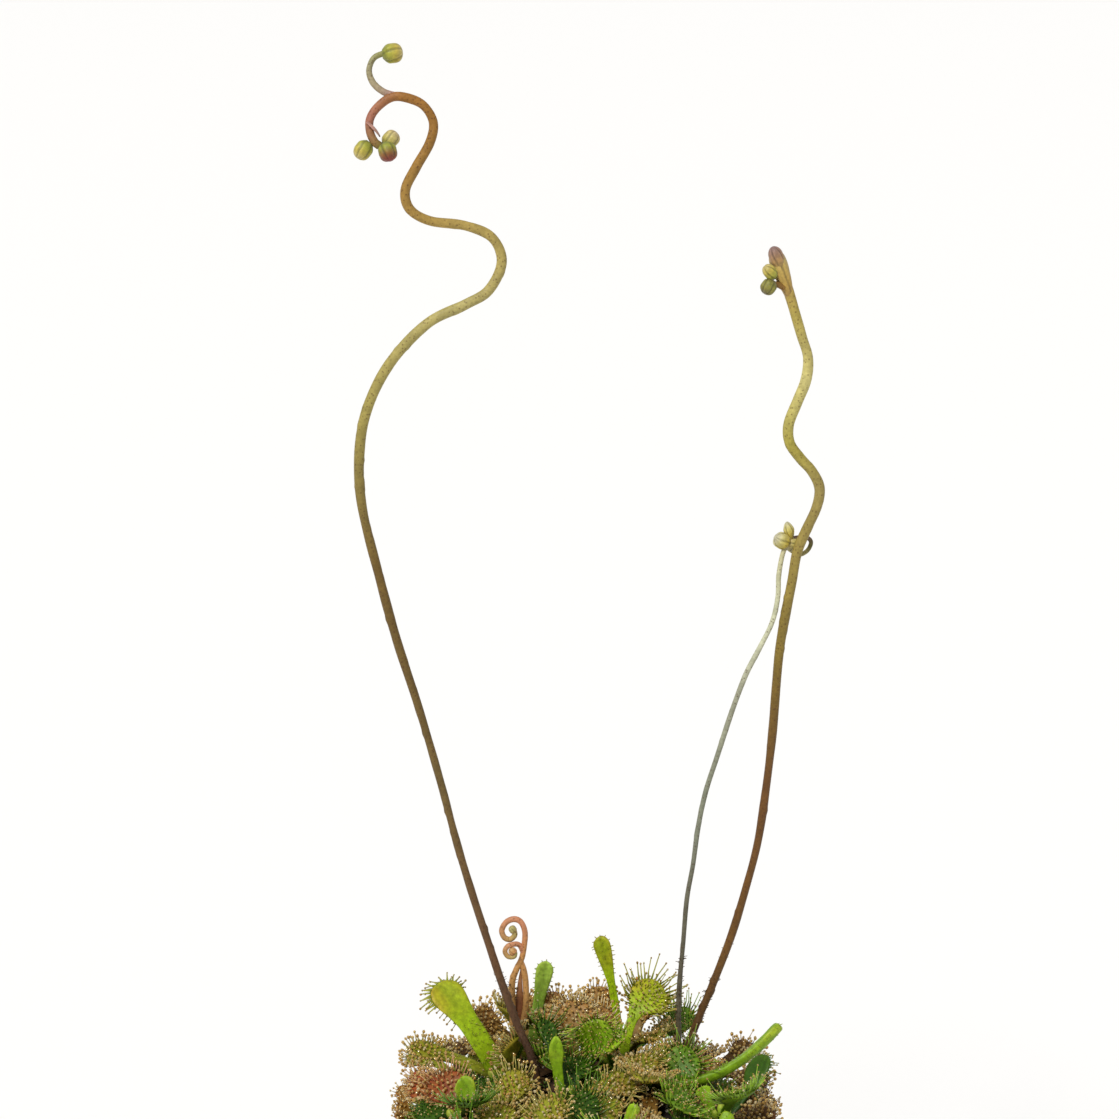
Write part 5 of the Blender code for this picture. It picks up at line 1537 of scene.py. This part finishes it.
def sand_skin(reach, rng):
    """Sand: grains of uneven shape, a few of them large, scattered on the soil."""
    x, y = disc_spots(GRAINS, reach, rng)
    size = rng.uniform(*GRAIN_SIZE, GRAINS) * (1 + (rng.random(GRAINS) < LARGE_SHARE) * 0.9)
    aims = unit(rng.normal(size=(GRAINS, 3)))
    bodies, heel, crown = beads(soil_points(x, y, 0.25), aims, size, GRAIN_SHAPE)
    bodies = bodies + rng.normal(0, 0.05, bodies.shape)
    pale = colour_along(rng.random(GRAINS), SAND_COLOURS)[:, None, None]
    return closed_tubes(bodies, pale, heel, crown)


def make_soil(peat, sand, litter, moss):
    """The growing medium: crumbly peat, sand grains, dead leaves round each crown, and moss.

    The peat is turned up to its shoulder. Its top lies on soil_height, raised by layers of ripple.
    """
    rng = np.random.default_rng(SOIL_SEED)
    collar = POT_HEIGHT - COLLAR_HEIGHT
    edge = RIM_RADIUS - COLLAR_TAPER - WALL - PEAT_GAP
    side = ((FOOT_RADIUS - WALL - FIT_GAP, FLOOR + 0.1), (edge - COLLAR_STEP, collar + 1.5),
            (edge, collar + SHOULDER[1]))
    rings = soil_rings(side, PEAT_SIDES, edge * np.sqrt(np.linspace(1, 0.001, PEAT_RINGS)))
    top = rings[len(side):]
    top[..., 2] += sum(height * ripple(top, size, seed) for height, size, seed in CRUMBS)
    add_piece("peat", [closed_tube(rings, linear("#20150d"))], peat, "peat_and_sand", "growing_medium")
    add_piece("sand", [sand_skin(edge - 0.6, rng)], sand, "peat_and_sand", "growing_medium")
    add_piece("dead_leaves", dead_leaves(rng), litter, "sundew_leaf")
    add_piece("moss", [moss_shoots(rng, edge - 0.8)], moss, "sundew_leaf")


def dead_leaves(rng):
    """Dead leaves pressed on the soil round every crown: each follows the ground out from its crown."""
    skins = []
    share = np.linspace(0, 0.97, LITTER_RINGS)
    turn = round_angles(LITTER_ROUND)
    side, face = np.sin(turn), np.cos(turn)
    blade = 0.5 + 1.4 * ease((share - 0.35) / 0.4)
    half = blade * np.sqrt(np.clip(1 - ((share - 0.55) / 0.44).clip(0) ** 2, 0, 1))
    for x, y in CROWNS.values():
        for number in range(LITTER_LEAVES):
            heading = number * GOLDEN_ANGLE + rng.uniform(-0.3, 0.3)
            length = rng.uniform(*LITTER_LENGTH)
            sweep = rng.uniform(-LITTER_SWEEP, LITTER_SWEEP)
            away = LITTER_START + length * share
            path_x = x + away * np.cos(heading + sweep * share)
            path_y = y + away * np.sin(heading + sweep * share)
            if np.hypot(path_x[-1], path_y[-1]) > LITTER_REACH:
                continue
            level = 0.5 + 0.1 * (number % 4) + rng.uniform(0, 0.4) * share
            line = soil_points(path_x, path_y, level)
            ahead = unit(np.gradient(line, axis=0))
            across = unit(np.cross(ahead, (0.0, 0.0, 1.0)))
            outward = np.cross(across, ahead)
            curl = rng.uniform(*LITTER_CURL)
            crumple = CRUMPLE * np.sin(9 * share[:, None] + 3 * side + number)
            lift = LITTER_THICK * face + curl * half[:, None] * side ** 2 + crumple
            rings = section_rings(line, across, outward, half[:, None] * side, lift)
            codes = LITTER_COLOURS[number % len(LITTER_COLOURS)]
            skins.append(closed_tube(rings, colour_along(share, codes)[:, None]))
    return skins


def moss_shoots(rng, reach):
    """Moss: shoots of spindle leaves, each leaf a ring of three points and two poles."""
    x, y = disc_spots(MOSS_SHOOTS, reach, rng)
    patches = ripple(np.stack([x, y, x * 0], axis=-1), MOSS_PATCH, 6)
    away = np.min([np.hypot(x - crown_x, y - crown_y) for crown_x, crown_y in CROWNS.values()], axis=0)
    keep = (patches > -0.5) & (away > MOSS_AWAY)
    x, y = x[keep], y[keep]
    feet = np.repeat(soil_points(x, y, 0.1), MOSS_LEAVES, axis=0)
    rank = np.tile(np.arange(MOSS_LEAVES), len(x))
    turn = rank * GOLDEN_ANGLE + np.repeat(rng.uniform(0, 6.3, len(x)), MOSS_LEAVES)
    tall = np.repeat(rng.uniform(*MOSS_TALL, len(x)), MOSS_LEAVES) * (rank + 1) / MOSS_LEAVES
    aims = unit(np.stack([np.cos(turn), np.sin(turn), 0.7 + 0.15 * rank], axis=1))
    starts = feet + np.array([0, 0, 1.0]) * tall[:, None]
    length = rng.uniform(*MOSS_LENGTH, len(rank))[:, None]
    first, second = hair_frame(aims)
    rings = ring_at(starts + aims * length * 0.4, first, second, np.full(len(rank), MOSS_WIDTH), 3)[:, None]
    shades = colour_along(rng.random(len(rank)) * 0.5 + rank / MOSS_LEAVES / 2, MOSS_COLOURS)
    return closed_tubes(rings, shades[:, None, None], starts - aims * 0.1, starts + aims * length)


def round_corners(profile, radius, steps=4):
    """A profile with each inner corner replaced by a quadratic curve that starts radius from it."""
    points = np.array(profile, float)
    outline = [points[0]]
    for before, corner, after in zip(points[:-2], points[1:-1], points[2:]):
        back, on = before - corner, after - corner
        near = min(radius, 0.45 * np.linalg.norm(back), 0.45 * np.linalg.norm(on))
        start, end = corner + unit(back) * near, corner + unit(on) * near
        for t in np.linspace(0, 1, steps + 1):
            outline.append((1 - t) ** 2 * start + 2 * t * (1 - t) * corner + t ** 2 * end)
    outline.append(points[-1])
    return np.array(outline)


def make_pot(material):
    """The pot: a turned shell with softened corners, with its drain holes cut through the floor."""
    colour = linear(POT_COLOUR)
    outline = round_corners(packed_pot_profile(), POT_CORNER)
    shell = closed_tube(turned_rings(outline, POT_ROUND), colour)
    pot = add_piece("pot_shell", [shell], material, "charcoal_plastic", "pot")
    holes = bpy.data.collections.new("drain_holes")
    bpy.context.scene.collection.children.link(holes)
    for number in range(DRAIN_HOLES):
        angle = 2 * math.pi * (number + 0.5) / DRAIN_HOLES
        centre = (DRAIN_CIRCLE * math.cos(angle), DRAIN_CIRCLE * math.sin(angle))
        bore = turned_rings(((DRAIN_RADIUS, -1.0), (DRAIN_RADIUS, FLOOR + 1.0)), DRAIN_ROUND, centre)
        skin = closed_tube(bore, colour)
        mesh = bpy.data.meshes.new("drain")
        faces = [tuple(face) for face in skin.quads.tolist() + skin.triangles.tolist()]
        mesh.from_pydata((skin.points * MM).tolist(), [], faces)
        holes.objects.link(bpy.data.objects.new("drain", mesh))
    cut = pot.modifiers.new("drains", "BOOLEAN")
    cut.operand_type = "COLLECTION"
    cut.collection = holes
    with bpy.context.temp_override(object=pot, active_object=pot, selected_objects=[pot]):
        bpy.ops.object.modifier_apply(modifier=cut.name)
    for drain in list(holes.objects):
        bpy.data.objects.remove(drain, do_unlink=True)
    bpy.data.collections.remove(holes)
    pot.data.set_sharp_from_angle(angle=POT_SHARP)


def make_camera():
    """The camera, CAMERA_DISTANCE from its target, one pixel there being PIXEL_MM."""
    camera = bpy.data.cameras.new("camera")
    camera.sensor_fit = "HORIZONTAL"
    camera.angle = 2 * math.atan(0.5 * FRAME_PIXELS * PIXEL_MM / CAMERA_DISTANCE)
    camera.clip_start = 0.01
    camera.clip_end = 200.0
    holder = bpy.data.objects.new("camera", camera)
    ahead = Vector((0, math.cos(CAMERA_DROP), -math.sin(CAMERA_DROP)))
    holder.location = (Vector(CAMERA_TARGET) - ahead * CAMERA_DISTANCE) * MM
    holder.rotation_euler = (math.pi / 2 - CAMERA_DROP, 0, 0)
    bpy.context.scene.collection.objects.link(holder)
    bpy.context.scene.camera = holder


def make_studio():
    """A pale floor, an even pale sky, and one broad soft light from above the left shoulder."""
    mesh = bpy.data.meshes.new("floor")
    corners = [(x * FLOOR_HALF, y * FLOOR_HALF, 0) for x, y in ((-1, -1), (1, -1), (1, 1), (-1, 1))]
    mesh.from_pydata(corners, [], [(0, 1, 2, 3)])
    mesh.materials.append(pale_paper())
    floor = bpy.data.objects.new("floor", mesh)
    bpy.context.scene.collection.objects.link(floor)
    world = bpy.data.worlds.new("sky")
    world.use_nodes = True
    sky = world.node_tree.nodes["Background"]
    sky.inputs["Color"].default_value = (*linear("#ffffff"), 1.0)
    sky.inputs["Strength"].default_value = SKY_STRENGTH
    bpy.context.scene.world = world
    lamp = bpy.data.lights.new("softbox", "SUN")
    lamp.energy = SOFTBOX_STRENGTH
    lamp.angle = math.radians(SOFTBOX_SPREAD)
    holder = bpy.data.objects.new("softbox", lamp)
    holder.rotation_euler = [math.radians(turn) for turn in SOFTBOX_TURN]
    bpy.context.scene.collection.objects.link(holder)
    bpy.context.scene.view_settings.view_transform = "Standard"


make_camera()
make_studio()
make_rosettes(living_leaf(), tentacle_flesh(), clear_mucilage())
make_stalks(stalk_skin(), sepal(), tentacle_flesh())
make_soil(damp_peat(), quartz_sand(), dead_leaf(), cushion_moss())
make_pot(moulded_polypropylene())
